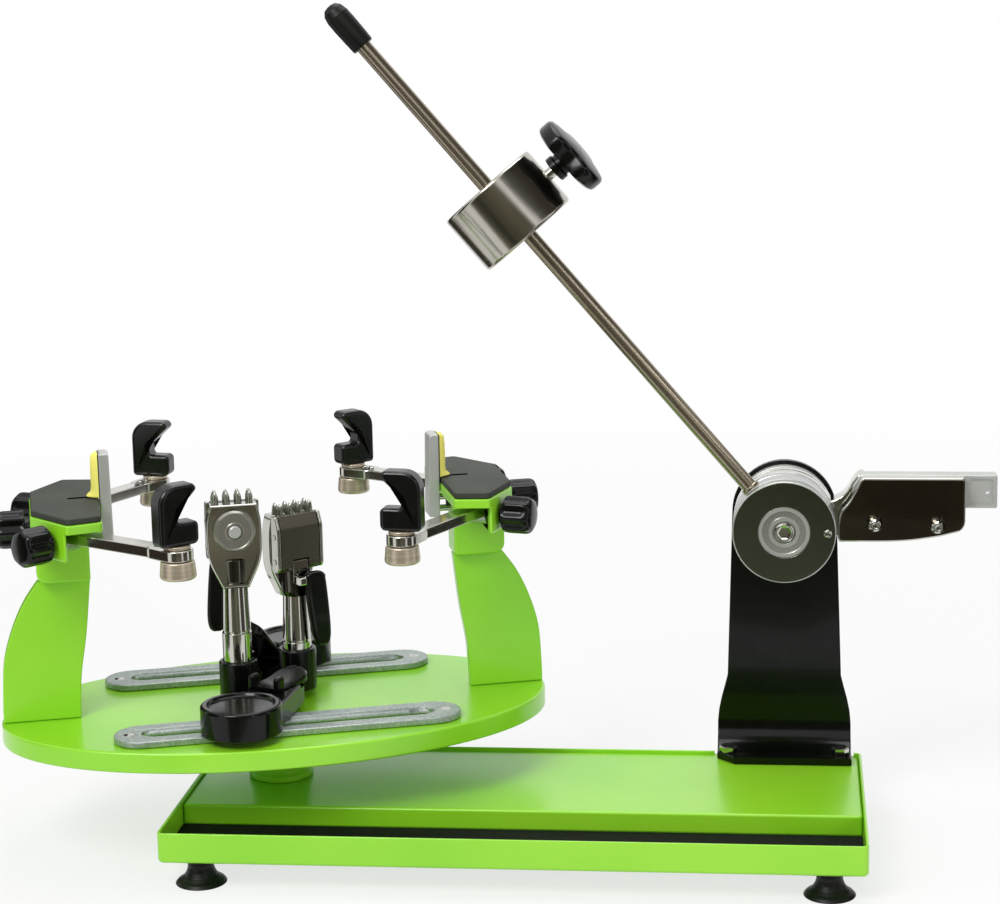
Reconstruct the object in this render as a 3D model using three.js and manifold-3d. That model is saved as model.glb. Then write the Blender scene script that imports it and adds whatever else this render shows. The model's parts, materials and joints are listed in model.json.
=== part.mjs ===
// Drop-weight racket stringing machine, in millimetres, +Z up, front towards -Y.
// A tray on four suction feet carries a turntable with two racket mounts and two
// string clamps, and an upright with the drum, the weighted rod and the gripper.
import * as THREE from 'three';
import { mergeVertices } from 'three/addons/utils/BufferGeometryUtils.js';
import Module from 'manifold-3d';

const wasm = await Module();
wasm.setup();

// Clearances and facets shared by all pieces.
const gap = 0.3;
const overrun = 1;
const sides = { large: 40, round: 24, medium: 16, small: 12, screw: 8, hexagon: 6, corner: 2 };

// Base tray, its inner cover and the suction feet.
const tray = { length: 460, depth: 186, bottom: 18.5, rim: 39.1, wall: 2, floor: 4, corner: 3,
  notchSide: 1.5 };
const cover = { front: 61.7, top: 36.9, sheet: 2.5 };
const foot = { insetX: 24.6, insetY: 17.6, lip: 16.9, lipHeight: 1.5, shoulder: 14, shoulderHeight: 3.5,
  neck: 9, neckHeight: 10, cup: 11, cupDepth: 3 };

// Turntable: hub, oval plate, rails and posts. Its own frame has X along the oval.
const turntable = { x: 56.3, y: 128, turn: 18.24, length: 375.6, width: 220, thickness: 14, top: 90.4 };
const hub = { radius: 22.2, spindle: 8, spindleRise: 9 };
const rail = { length: 232, width: 38, thickness: 4.5, centre: 66, slotLength: 196, slotWidth: 12,
  hole: 2.2, holeInset: 10 };
const post = { thickness: 10, inner: 135, outer: 186.5, top: 187, topInner: 124.5, topOuter: 159.5 };
// Outer edge of a post: how far out of the way from top to foot, and how far down it.
const postCurveShares = [[0.37, 0.15], [0.69, 0.345], [0.92, 0.575], [0.993, 0.86]];
const postKneeShare = 0.31;

// Racket mounts, written for the one on the right.
const plate = { under: 232, thickness: 6, inner: 116, width: 46, middleShare: 0.5, innerHalf: 60,
  middleHalf: 66, outerHalf: 30, skirtDepth: 19, skirt: 5 };
plate.outer = plate.inner + plate.width;
plate.middle = plate.inner + plate.width * plate.middleShare;
plate.skirtLow = plate.under - plate.skirtDepth;
const neck = { inner: 124.3, outer: 159.7, half: 12.5, foot: 187.3 };
const pad = { thickness: 4, inset: 0.6, slotEnd: 136, slotWidth: 4 };
const support = { inner: 107.5, outer: 115.4, half: 9, topHalf: 7, low: 215, high: 273, slope: 1.6 };
const softPad = { thickness: 5.6, low: 243, half: 8.5 };
const guide = { radius: 5.5, end: 140, threadStart: 118 };
const drive = { height: 223.5, screw: 3, bore: 3.4 };
const knob = { radius: 13, valley: 11.4, flutes: 8, length: 20, edge: 2.4, collar: 7, collarLength: 3,
  stand: 0.8, armReach: 27, supportReach: 41 };
// End of a flute's bulge and middle of its valley, as shares of one flute's turn.
const fluteShares = { bulge: 0.55, valley: 0.78 };
const arm = { thickness: 7, width: 14, centre: 226, eye: 9.5, nut: 7.5, nutLength: 12, nutSetback: 15 };
const hook = { x: 72, y: 112, thickness: 14, seat: 2.7, height: 39.5, yaw: 25, bore: 4.3, boreDepth: 7,
  back: 14.5, front: 13 };
// Points of the hook's outline as shares of its height, and of its reach behind and in front of the pin.
const hookShares = { jaw: 0.385, throatTop: 0.563, knee: 0.634, tip: 0.905, throat: -0.1,
  crestStart: -0.28, crestEnd: 0.77 };
const swivelNut = { radius: 12, height: 12, edge: 1.5, pin: 4, pinRise: 5.5 };

// String clamps. Each base swivels on a stud in its rail's slot.
const base = { disc: 27, discBack: 14, height: 19.5, dish: 22, dishDepth: 2, armWidth: 26, armHeight: 6.5,
  collar: 13, collarHeight: 29, collarX: 5, collarY: 56, boxAngle: 49, boxStart: 14, boxEnd: 66,
  boxWidth: 26, boxHeight: 16 };
const shoe = { radius: 5.6, pin: 3.6, pinRise: 8 };
const lock = { start: 30, length: 40, width: 25, thickness: 7, knuckle: 5, dish: 2.6, fin: 5, finRise: 6 };
const tube = { radius: 10, shoulder: 8.6, inCollar: 13, length: 53, ring: 0.8, ringAt: 20,
  ringHeight: 1.6 };
const head = { taper: 23, width: 37, depth: 11, height: 35, tooth: 3.4, toothHeight: 8, pitch: 7.8,
  cap: 14.3, capRise: 3, capHeight: 17, pin: 5, pinRise: 2, neckHalf: 9 };
const teeth = 4;
const toothShoulderShares = { across: 0.9, up: 0.7 };
const jaw = { depth: 9, low: 4, chamfer: 4, gape: 1.4, pin: 2, pinHalf: 12, pinRise: 4, lugHalf: 6,
  lugReach: 3.5 };
const lever = { x: -7.5, lean: 5, width: 16, thickness: 6.6, stand: 0.6, length: 49, hinge: 13.5, pin: 2.2,
  lug: 5, lugHalf: 4 };
// Half-width and height shares of the lever's outline, from its head down to its tip.
const leverShares = [[0.6, 0.09], [1, 0.04], [1, 0], [0.88, -0.8], [0.72, -0.94], [0.4, -1]];
// The rear clamp is dropped in its collar and its head is turned away.
const clamps = [
  { name: 'front', railX: -33, turn: 0, drop: 0, headTurn: 0, lockTilt: 0 },
  { name: 'rear', railX: -20, turn: 180, drop: 15, headTurn: 25, lockTilt: 40 },
];

// Tension head. The drum's axis runs along Y.
const stand = { fromRight: 54.2, behind: 9.9 };
const upright = { x: tray.length - stand.fromRight, face: tray.depth + stand.behind, flange: 33.9,
  sheet: 5, bend: 18, footHalf: 47, kneeHalf: 44.4, waistHalf: 40, topHalf: 36.4, kneeHeight: 75,
  waistHeight: 92, footHeight: 58, spacer: 30, chamfer: 12 };
upright.flangeFront = upright.face - upright.flange;
const bolt = { inset: 8, fromFront: 13, radius: 5.5, rise: 4, edge: 1 };
const drum = { height: 211.3, radius: 35, core: 18, ahead: 65.4, disc: 8.7, ringDepth: 22,
  bodyDepth: 18, bore: 8.4, edge: 1, mark: 3, markReach: 29, markDepth: 4, seat: 17.7 };
drum.front = upright.face - drum.ahead;
drum.ringFront = drum.front + drum.disc + gap;
const axle = { radius: 8, head: 6.8, headDepth: 2, socket: 3.4, socketDepth: 1.4, ring: 17.4, race: 14.7,
  raceDepth: 1, recess: 1.2 };
const rod = { radius: 5.25, lean: 49.4, root: 22, end: 446, ferrule: 7.5, ferruleEnd: 41 };
const cap = { radius: 8.5, start: 431, end: 466, round: 7 };
// The cap's rounded tip: shares of its radius, and of its rounding below the end.
const capTipShares = [[0.75, 0.35], [0.4, 0.07]];
const weight = { radius: 36.5, length: 44, at: 285, edge: 2, bore: 5.6, screwBore: 4.4 };
const weightKnob = { screw: 4, collar: 9, collarStart: 44, collarEnd: 52, body: 27, valley: 20, bodyEnd: 65,
  dome: 7, lobes: 3, turn: 90 };
// Shares of one lobe's turn: half of its crest, then its valley's start and end.
const lobeShares = { crest: 0.28, valleyStart: 0.4, valleyEnd: 0.6 };

// String gripper on the drum's right. Heights are above the drum's axis.
const gripper = { neckStart: 28, neckRise: 13, left: 52, right: 122, top: 34, low: -10.5, lowRight: -2,
  setBack: 8.5, jawThickness: 9.6, gape: 2, fixedThickness: 12.9, neckSetBack: 1.2, reach: 144,
  reachLow: 11, corner: 6, pin: 4.6, pinStand: 2, pinHead: 5.6, pinHeadDepth: 5, pinY: [3, 2],
  pinX: [61, 103] };
gripper.front = drum.ringFront + gripper.setBack;
gripper.jawBack = gripper.front + gripper.jawThickness;
gripper.fixedFront = gripper.jawBack + gripper.gape;
gripper.back = gripper.fixedFront + gripper.fixedThickness;
gripper.neckFront = drum.ringFront + drum.ringDepth + gap + gripper.neckSetBack;

function paint(color, roughness, metalness) {
  return new THREE.MeshStandardMaterial({ color, roughness, metalness });
}

const materials = {
  lime: paint(0x86cc1e, 0.35, 0),
  black: paint(0x10130f, 0.2, 0),
  plastic: paint(0x0d0f0d, 0.4, 0),
  rubber: paint(0x2d3430, 0.8, 0),
  chrome: paint(0xc8ccc8, 0.15, 1),
  steel: paint(0x9aa09c, 0.35, 1),
  zinc: paint(0xa9b2ac, 0.5, 0.8),
  yellow: paint(0xe6de5a, 0.7, 0),
};

const degrees = THREE.MathUtils.degToRad;
const half = (value) => value / 2;

// A closed three.js geometry as a solid for joining and cutting.
function toSolid(geometry) {
  const bare = geometry.index ? geometry.toNonIndexed() : geometry.clone();
  bare.deleteAttribute('normal');
  bare.deleteAttribute('uv');
  const merged = mergeVertices(bare, 1e-4);
  const position = merged.attributes.position;
  const corners = [];
  for (let i = 0; i < merged.index.count; i += 3) {
    const face = [0, 1, 2].map((k) => merged.index.getX(i + k));
    if (new Set(face).size === 3) corners.push(face);
  }
  const [a, b, c] = [new THREE.Vector3(), new THREE.Vector3(), new THREE.Vector3()];
  let volume = 0;
  for (const [i, j, k] of corners) {
    a.fromBufferAttribute(position, i);
    b.fromBufferAttribute(position, j);
    c.fromBufferAttribute(position, k);
    volume += a.dot(b.cross(c));
  }
  if (volume < 0) corners.forEach((face) => face.reverse());
  return new wasm.Manifold(new wasm.Mesh({
    numProp: 3,
    vertProperties: new Float32Array(position.array),
    triVerts: new Uint32Array(corners.flat()),
  }));
}

function toGeometry(solid) {
  const mesh = solid.getMesh();
  const geometry = new THREE.BufferGeometry();
  geometry.setAttribute('position', new THREE.BufferAttribute(new Float32Array(mesh.vertProperties), 3));
  geometry.setIndex(new THREE.BufferAttribute(new Uint32Array(mesh.triVerts), 1));
  return geometry;
}

const join = (...pieces) => toGeometry(pieces.map(toSolid).reduce((whole, piece) => whole.add(piece)));
const common = (first, second) => toGeometry(toSolid(first).intersect(toSolid(second)));

function cut(body, ...tools) {
  return toGeometry(tools.map(toSolid).reduce((whole, tool) => whole.subtract(tool), toSolid(body)));
}

// Outline through points, extruded up from z = 0.
function slab(points, height, holes = []) {
  const shape = new THREE.Shape(points.map(([x, y]) => new THREE.Vector2(x, y)));
  holes.forEach((hole) => shape.holes.push(new THREE.Path(hole.map(([x, y]) => new THREE.Vector2(x, y)))));
  return new THREE.ExtrudeGeometry(shape, { depth: height, bevelEnabled: false });
}

// Outline in X and Z, extruded along Y and centred on y = 0.
function standing(points, depth) {
  return slab(points, depth).rotateX(degrees(90)).translate(0, half(depth), 0);
}

// Radii and heights turned about Z.
function turned(profile, count) {
  const points = profile.map(([r, z]) => new THREE.Vector2(r, z));
  return new THREE.LatheGeometry(points, count).rotateX(degrees(90));
}

// The same about Y, with places along Y in the profile.
function alongY(profile, count) {
  return turned(profile.map(([r, y]) => [r, -y]), count).rotateX(degrees(90));
}

function rodAlongZ(radius, low, high, count) {
  return turned([[0, low], [radius, low], [radius, high], [0, high]], count);
}

function rodAlongX(radius, low, high, count) {
  return rodAlongZ(radius, low, high, count).rotateY(degrees(90));
}

function rodAlongY(radius, low, high, count) {
  return rodAlongZ(radius, -high, -low, count).rotateX(degrees(90));
}

function box(x0, x1, y0, y1, z0, z1) {
  return new THREE.BoxGeometry(x1 - x0, y1 - y0, z1 - z0)
    .translate(half(x0 + x1), half(y0 + y1), half(z0 + z1));
}

function onCircle(cx, cy, radius, angle) {
  return [cx + radius * Math.cos(degrees(angle)), cy + radius * Math.sin(degrees(angle))];
}

function arc(cx, cy, radius, from, to, steps) {
  const angle = (i) => from + (to - from) * i / steps;
  return Array.from({ length: steps + 1 }, (_, i) => onCircle(cx, cy, radius, angle(i)));
}

function circle(cx, cy, radius, count) {
  return arc(cx, cy, radius, 0, 360 - 360 / count, count - 1);
}

// Rounded bar between two ends in plan, with its own radius at each end.
function bar(x0, y0, r0, x1, y1, r1, steps) {
  const along = THREE.MathUtils.radToDeg(Math.atan2(y1 - y0, x1 - x0));
  const lean = THREE.MathUtils.radToDeg(Math.asin((r0 - r1) / Math.hypot(x1 - x0, y1 - y0)));
  const turn = 90 - lean;
  return [...arc(x1, y1, r1, along - turn, along + turn, steps),
    ...arc(x0, y0, r0, along + turn, along + 360 - turn, steps)];
}

function roundedBox(x0, x1, y0, y1, radius) {
  const quarter = (x, y, from) => arc(x, y, radius, from, from + 90, sides.corner);
  return [...quarter(x1 - radius, y0 + radius, -90), ...quarter(x1 - radius, y1 - radius, 0),
    ...quarter(x0 + radius, y1 - radius, 90), ...quarter(x0 + radius, y0 + radius, 180)];
}

function piece(name, geometry, material, parent) {
  const mesh = new THREE.Mesh(geometry, material);
  mesh.name = name;
  parent.add(mesh);
  return mesh;
}

// A group whose origin is a joint's place, turned so that its X, Y or Z is the joint's axis.
function carrier(name, parent, x, y, z) {
  const group = new THREE.Group();
  group.name = name;
  group.position.set(x, y, z);
  parent.add(group);
  return group;
}

const machine = new THREE.Group();
const model = carrier('model', machine, 0, 0, 0);

function makeBase() {
  const height = tray.rim - tray.bottom;
  const outer = slab(roundedBox(0, tray.length, 0, tray.depth, tray.corner), height);
  const inside = slab(roundedBox(tray.wall, tray.length - tray.wall, tray.wall, tray.depth - tray.wall,
    tray.corner - tray.wall), height).translate(0, 0, tray.floor);
  // The rear wall is notched where the bracket's bend passes over it.
  const notchHalf = upright.footHalf + tray.notchSide;
  const notch = box(upright.x - notchHalf, upright.x + notchHalf, tray.depth - tray.wall - overrun,
    tray.depth + overrun, cover.top - tray.bottom - gap, height + overrun);
  piece('base_tray', cut(outer, inside, notch).translate(0, 0, tray.bottom), materials.lime, model);

  const [x0, x1] = [tray.wall + gap, tray.length - tray.wall - gap];
  const [y0, y1] = [cover.front, tray.depth - tray.wall - gap];
  const low = tray.bottom + tray.floor + gap;
  const hollow = box(x0 + cover.sheet, x1 - cover.sheet, y0 + cover.sheet, y1 - cover.sheet,
    low - overrun, cover.top - cover.sheet);
  piece('platform_cover', cut(box(x0, x1, y0, y1, low, cover.top), hollow), materials.lime, model);

  const cupProfile = [[0, foot.cupDepth], [foot.cup, 0], [foot.lip, 0], [foot.lip, foot.lipHeight],
    [foot.shoulder, foot.shoulderHeight], [foot.neck, foot.neckHeight], [foot.neck, tray.bottom - gap],
    [0, tray.bottom - gap]];
  for (const [across, x] of [['left', foot.insetX], ['right', tray.length - foot.insetX]]) {
    for (const [along, y] of [['front', foot.insetY], ['rear', tray.depth - foot.insetY]]) {
      piece(`suction_foot_${along}_${across}`, turned(cupProfile, sides.round).translate(x, y, 0),
        materials.plastic, model);
    }
  }
}

// Turntable plate with rails and posts, and the fixed hub that it turns on.
function makeTurntable() {
  const under = turntable.top - turntable.thickness;
  const hubProfile = [[0, cover.top + gap], [hub.radius, cover.top + gap], [hub.radius, under - gap],
    [hub.spindle, under - gap], [hub.spindle, under + hub.spindleRise], [0, under + hub.spindleRise]];
  piece('turntable_hub', turned(hubProfile, sides.round).translate(turntable.x, turntable.y, 0),
    materials.lime, model);

  const table = carrier('turntable', model, turntable.x, turntable.y, 0);
  table.rotation.z = degrees(turntable.turn);
  const oval = circle(0, 0, half(turntable.width), sides.large)
    .map(([x, y]) => [x * turntable.length / turntable.width, y]);
  const bore = rodAlongZ(hub.spindle + gap, under - overrun, under + hub.spindleRise + gap, sides.round);
  piece('turntable_plate', cut(slab(oval, turntable.thickness).translate(0, 0, under), bore),
    materials.lime, table);

  const [straight, slot] = [half(rail.length - rail.width), half(rail.slotLength - rail.slotWidth)];
  for (const [name, side] of [['front', -1], ['rear', 1]]) {
    const y = side * rail.centre;
    const outline = bar(-straight, y, half(rail.width), straight, y, half(rail.width), sides.small / 2);
    const opening = bar(-slot, y, half(rail.slotWidth), slot, y, half(rail.slotWidth), sides.small / 4);
    const holeX = half(rail.length) - rail.holeInset;
    const holes = [-1, 1].map((end) => circle(end * holeX, y, rail.hole, sides.screw));
    piece(`${name}_rail`, slab(outline, rail.thickness, [opening, ...holes])
      .translate(0, 0, turntable.top + gap), materials.zinc, table);
  }

  const postFoot = turntable.top + gap;
  const rise = post.top - postFoot;
  const spread = post.outer - post.topOuter;
  const curve = postCurveShares
    .map(([out, down]) => [post.topOuter + spread * out, post.top - rise * down]);
  const kneeX = post.inner - (post.inner - post.topInner) * postKneeShare / 2;
  const profile = [[post.inner, postFoot], [kneeX, postFoot + rise * postKneeShare],
    [post.topInner, post.top], [post.topOuter, post.top], ...curve, [post.outer, postFoot]];
  for (const [name, turn] of [['right', 0], ['left', 180]]) {
    piece(`${name}_post`, standing(profile, post.thickness).rotateZ(degrees(turn)), materials.lime, table);
    makeMount(name, carrier(`${name}_mount`, table, 0, 0, 0), turn);
  }
  clamps.forEach((clamp) => makeClamp(clamp, table));
}

// Plan outline of a mount's head, drawn in by an inset.
function headOutline(inset) {
  return [[plate.inner + inset, -plate.innerHalf + inset], [plate.middle, -plate.middleHalf + inset],
    [plate.outer - inset, -plate.outerHalf], [plate.outer - inset, plate.outerHalf],
    [plate.middle, plate.middleHalf - inset], [plate.inner + inset, plate.innerHalf - inset]];
}

// The slanted outer edge of the head on one side: its middle and its outward direction.
function slantedEdge(side) {
  const along = new THREE.Vector2(plate.middle - plate.outer, side * (plate.middleHalf - plate.outerHalf))
    .normalize();
  return {
    x: half(plate.middle + plate.outer),
    y: side * half(plate.middleHalf + plate.outerHalf),
    out: new THREE.Vector2(side * along.y, -side * along.x),
  };
}

// Knob with its collar and its screw, which reaches back from the knob's own origin.
function flutedKnob(reach) {
  const step = 360 / knob.flutes;
  const outline = Array.from({ length: knob.flutes }, (_, i) => [
    ...arc(0, 0, knob.radius - knob.edge, i * step, (i + fluteShares.bulge) * step, 2),
    onCircle(0, 0, knob.valley - knob.edge, (i + fluteShares.valley) * step),
  ]).flat();
  const shape = new THREE.Shape(outline.map(([x, y]) => new THREE.Vector2(x, y)));
  const body = new THREE.ExtrudeGeometry(shape, {
    depth: knob.length - 2 * knob.edge,
    bevelThickness: knob.edge,
    bevelSize: knob.edge,
    bevelSegments: 2,
  }).translate(0, 0, knob.stand + knob.collarLength + knob.edge);
  const collar = rodAlongZ(knob.collar, knob.stand, knob.stand + knob.collarLength + overrun, sides.small);
  const screw = rodAlongZ(drive.screw, -reach, knob.stand + overrun, sides.screw);
  return join(body, collar, screw);
}

// Head plate with its pad and knobs, the inner support that slides in it, and both arms.
function makeMount(name, mount, turn) {
  mount.rotation.z = degrees(turn);
  // On the left mount, turned by half a turn, the near side is the rear one.
  const nearSide = turn === 0 ? -1 : 1;
  const sideName = (side) => (side === nearSide ? 'front' : 'rear');

  const plan = headOutline(0);
  const outerWall = 2 * (plate.outer - plate.inner);
  const skirtRing = slab(plan, plate.under - plate.skirtLow + overrun, [headOutline(plate.skirt).reverse()])
    .translate(0, 0, plate.skirtLow);
  const skirtPlan = [[plate.middle + gap, -plate.middleHalf - overrun],
    [plate.middle + outerWall, -plate.middleHalf], [plate.middle + outerWall, plate.middleHalf],
    [plate.middle + gap, plate.middleHalf + overrun]];
  const skirtKeep = slab(skirtPlan, plate.thickness + plate.under - plate.skirtLow)
    .translate(0, 0, plate.skirtLow - overrun);
  const body = join(
    slab(plan, plate.thickness).translate(0, 0, plate.under),
    common(skirtRing, skirtKeep),
    box(neck.inner, neck.outer, -neck.half, neck.half, neck.foot, plate.under + overrun),
  );
  const bores = [
    rodAlongX(guide.radius + gap, neck.inner - overrun, guide.end + gap, sides.small),
    rodAlongX(drive.bore, neck.inner, plate.outer + overrun, sides.screw),
  ].map((bore) => bore.translate(0, 0, drive.height));
  const slants = [-1, 1].map((side) => ({ side, edge: slantedEdge(side) }));
  slants.forEach(({ edge }) => {
    bores.push(rodAlongX(drive.bore, -plate.skirt - overrun, overrun, sides.screw)
      .rotateZ(edge.out.angle()).translate(edge.x, edge.y, drive.height));
  });
  piece(`${name}_head_plate`, cut(body, ...bores), materials.lime, mount);

  const padLow = plate.under + plate.thickness + gap;
  const padPlan = headOutline(pad.inset);
  const slot = box(plate.inner - overrun, pad.slotEnd, -half(pad.slotWidth), half(pad.slotWidth),
    padLow - overrun, padLow + pad.thickness + overrun);
  piece(`${name}_rubber_pad`, cut(slab(padPlan, pad.thickness).translate(0, 0, padLow), slot),
    materials.rubber, mount);

  // Inner support: slides inwards on its guide rod, driven by the middle knob.
  const slide = carrier(`${name}_support_slide`, mount, 0, 0, 0);
  const barShape = [[support.inner, support.low], [support.outer, support.low],
    [support.outer, support.high], [support.inner + support.slope, support.high]];
  const guideRod = rodAlongX(guide.radius, half(support.inner + support.outer), guide.end, sides.small)
    .translate(0, 0, drive.height);
  const thread = rodAlongX(drive.bore, guide.threadStart, guide.end + overrun, sides.screw)
    .translate(0, 0, drive.height);
  const supportBody = join(standing(barShape, 2 * support.half), guideRod);
  piece(`${name}_inner_support`, cut(supportBody, thread), materials.steel, slide);
  const softBack = support.outer + gap;
  piece(`${name}_support_pad`, box(softBack, softBack + softPad.thickness, -softPad.half, softPad.half,
    softPad.low, support.high - gap), materials.yellow, slide);
  const middleKnob = carrier(`${name}_support_knob_turn`, mount, plate.outer, 0, drive.height);
  middleKnob.rotation.y = degrees(90);
  piece(`${name}_support_knob`, flutedKnob(knob.supportReach), materials.plastic, middleKnob);

  slants.forEach(({ side, edge }) => makeArm(`${name}_${sideName(side)}`, mount, side, edge));
}

// One flat arm with its knob, hook and swivel nut.
function makeArm(name, mount, side, edge) {
  const turner = carrier(`${name}_arm_knob_turn`, mount, edge.x, edge.y, drive.height);
  turner.rotation.set(0, degrees(90), 0);
  turner.rotation.order = 'ZYX';
  turner.rotation.z = edge.out.angle();
  piece(`${name}_arm_knob`, flutedKnob(knob.armReach), materials.plastic, turner);

  const slide = carrier(`${name}_arm_slide`, mount, 0, 0, 0);
  const rootX = edge.x - edge.out.x * arm.nutSetback;
  const rootY = edge.y - edge.out.y * arm.nutSetback;
  const [hookX, hookY] = [hook.x, side * hook.y];
  const flat = slab(bar(rootX, rootY, half(arm.width), hookX, hookY, arm.eye, sides.small / 2),
    arm.thickness).translate(0, 0, arm.centre - half(arm.thickness));
  const nut = rodAlongX(arm.nut, -half(arm.nutLength), half(arm.nutLength), sides.small)
    .rotateZ(edge.out.angle()).translate(rootX, rootY, drive.height);
  const threaded = rodAlongX(drive.bore, -arm.nutSetback, arm.nutSetback, sides.screw)
    .rotateZ(edge.out.angle()).translate(rootX, rootY, drive.height);
  const eye = rodAlongZ(swivelNut.pin + gap, arm.centre - arm.thickness, arm.centre + arm.thickness,
    sides.small).translate(hookX, hookY, 0);
  piece(`${name}_arm`, cut(join(flat, nut), threaded, eye), materials.chrome, slide);

  const swivel = carrier(`${name}_hook_swivel`, slide, hookX, hookY, 0);
  swivel.rotation.z = degrees(180 + side * hook.yaw);
  const low = arm.centre + half(arm.thickness) + hook.seat;
  const level = (share) => low + hook.height * share;
  const throat = hook.back * hookShares.throat;
  const crestStart = hook.back * hookShares.crestStart;
  const shoulder = arc(0, 0, 1, 90, 180, 3).slice(1, -1).map(([x, z]) => [
    crestStart + x * (hook.back + crestStart),
    level(hookShares.knee) + z * hook.height * (1 - hookShares.knee),
  ]);
  const profile = [[-hook.back, low], [hook.front, low], [hook.front, level(hookShares.jaw)],
    [throat, level(hookShares.jaw)], [throat, level(hookShares.throatTop)],
    [hook.front, level(hookShares.tip)], [hook.front * hookShares.crestEnd, low + hook.height],
    [crestStart, low + hook.height], ...shoulder, [-hook.back, level(hookShares.knee)]];
  const hookBore = rodAlongZ(hook.bore, low - overrun, low + hook.boreDepth, sides.small);
  piece(`${name}_hook`, cut(standing(profile, hook.thickness), hookBore), materials.plastic, swivel);

  const nutTop = arm.centre - half(arm.thickness) - gap;
  const nutLow = nutTop - swivelNut.height;
  const nutFace = swivelNut.radius - swivelNut.edge;
  const pinTop = low + swivelNut.pinRise;
  const nutProfile = [[0, nutLow], [nutFace, nutLow], [swivelNut.radius, nutLow + swivelNut.edge],
    [swivelNut.radius, nutTop - swivelNut.edge], [nutFace, nutTop], [swivelNut.pin, nutTop],
    [swivelNut.pin, pinTop], [0, pinTop]];
  piece(`${name}_swivel_nut`, turned(nutProfile, sides.medium), materials.steel, swivel);
}

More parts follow.
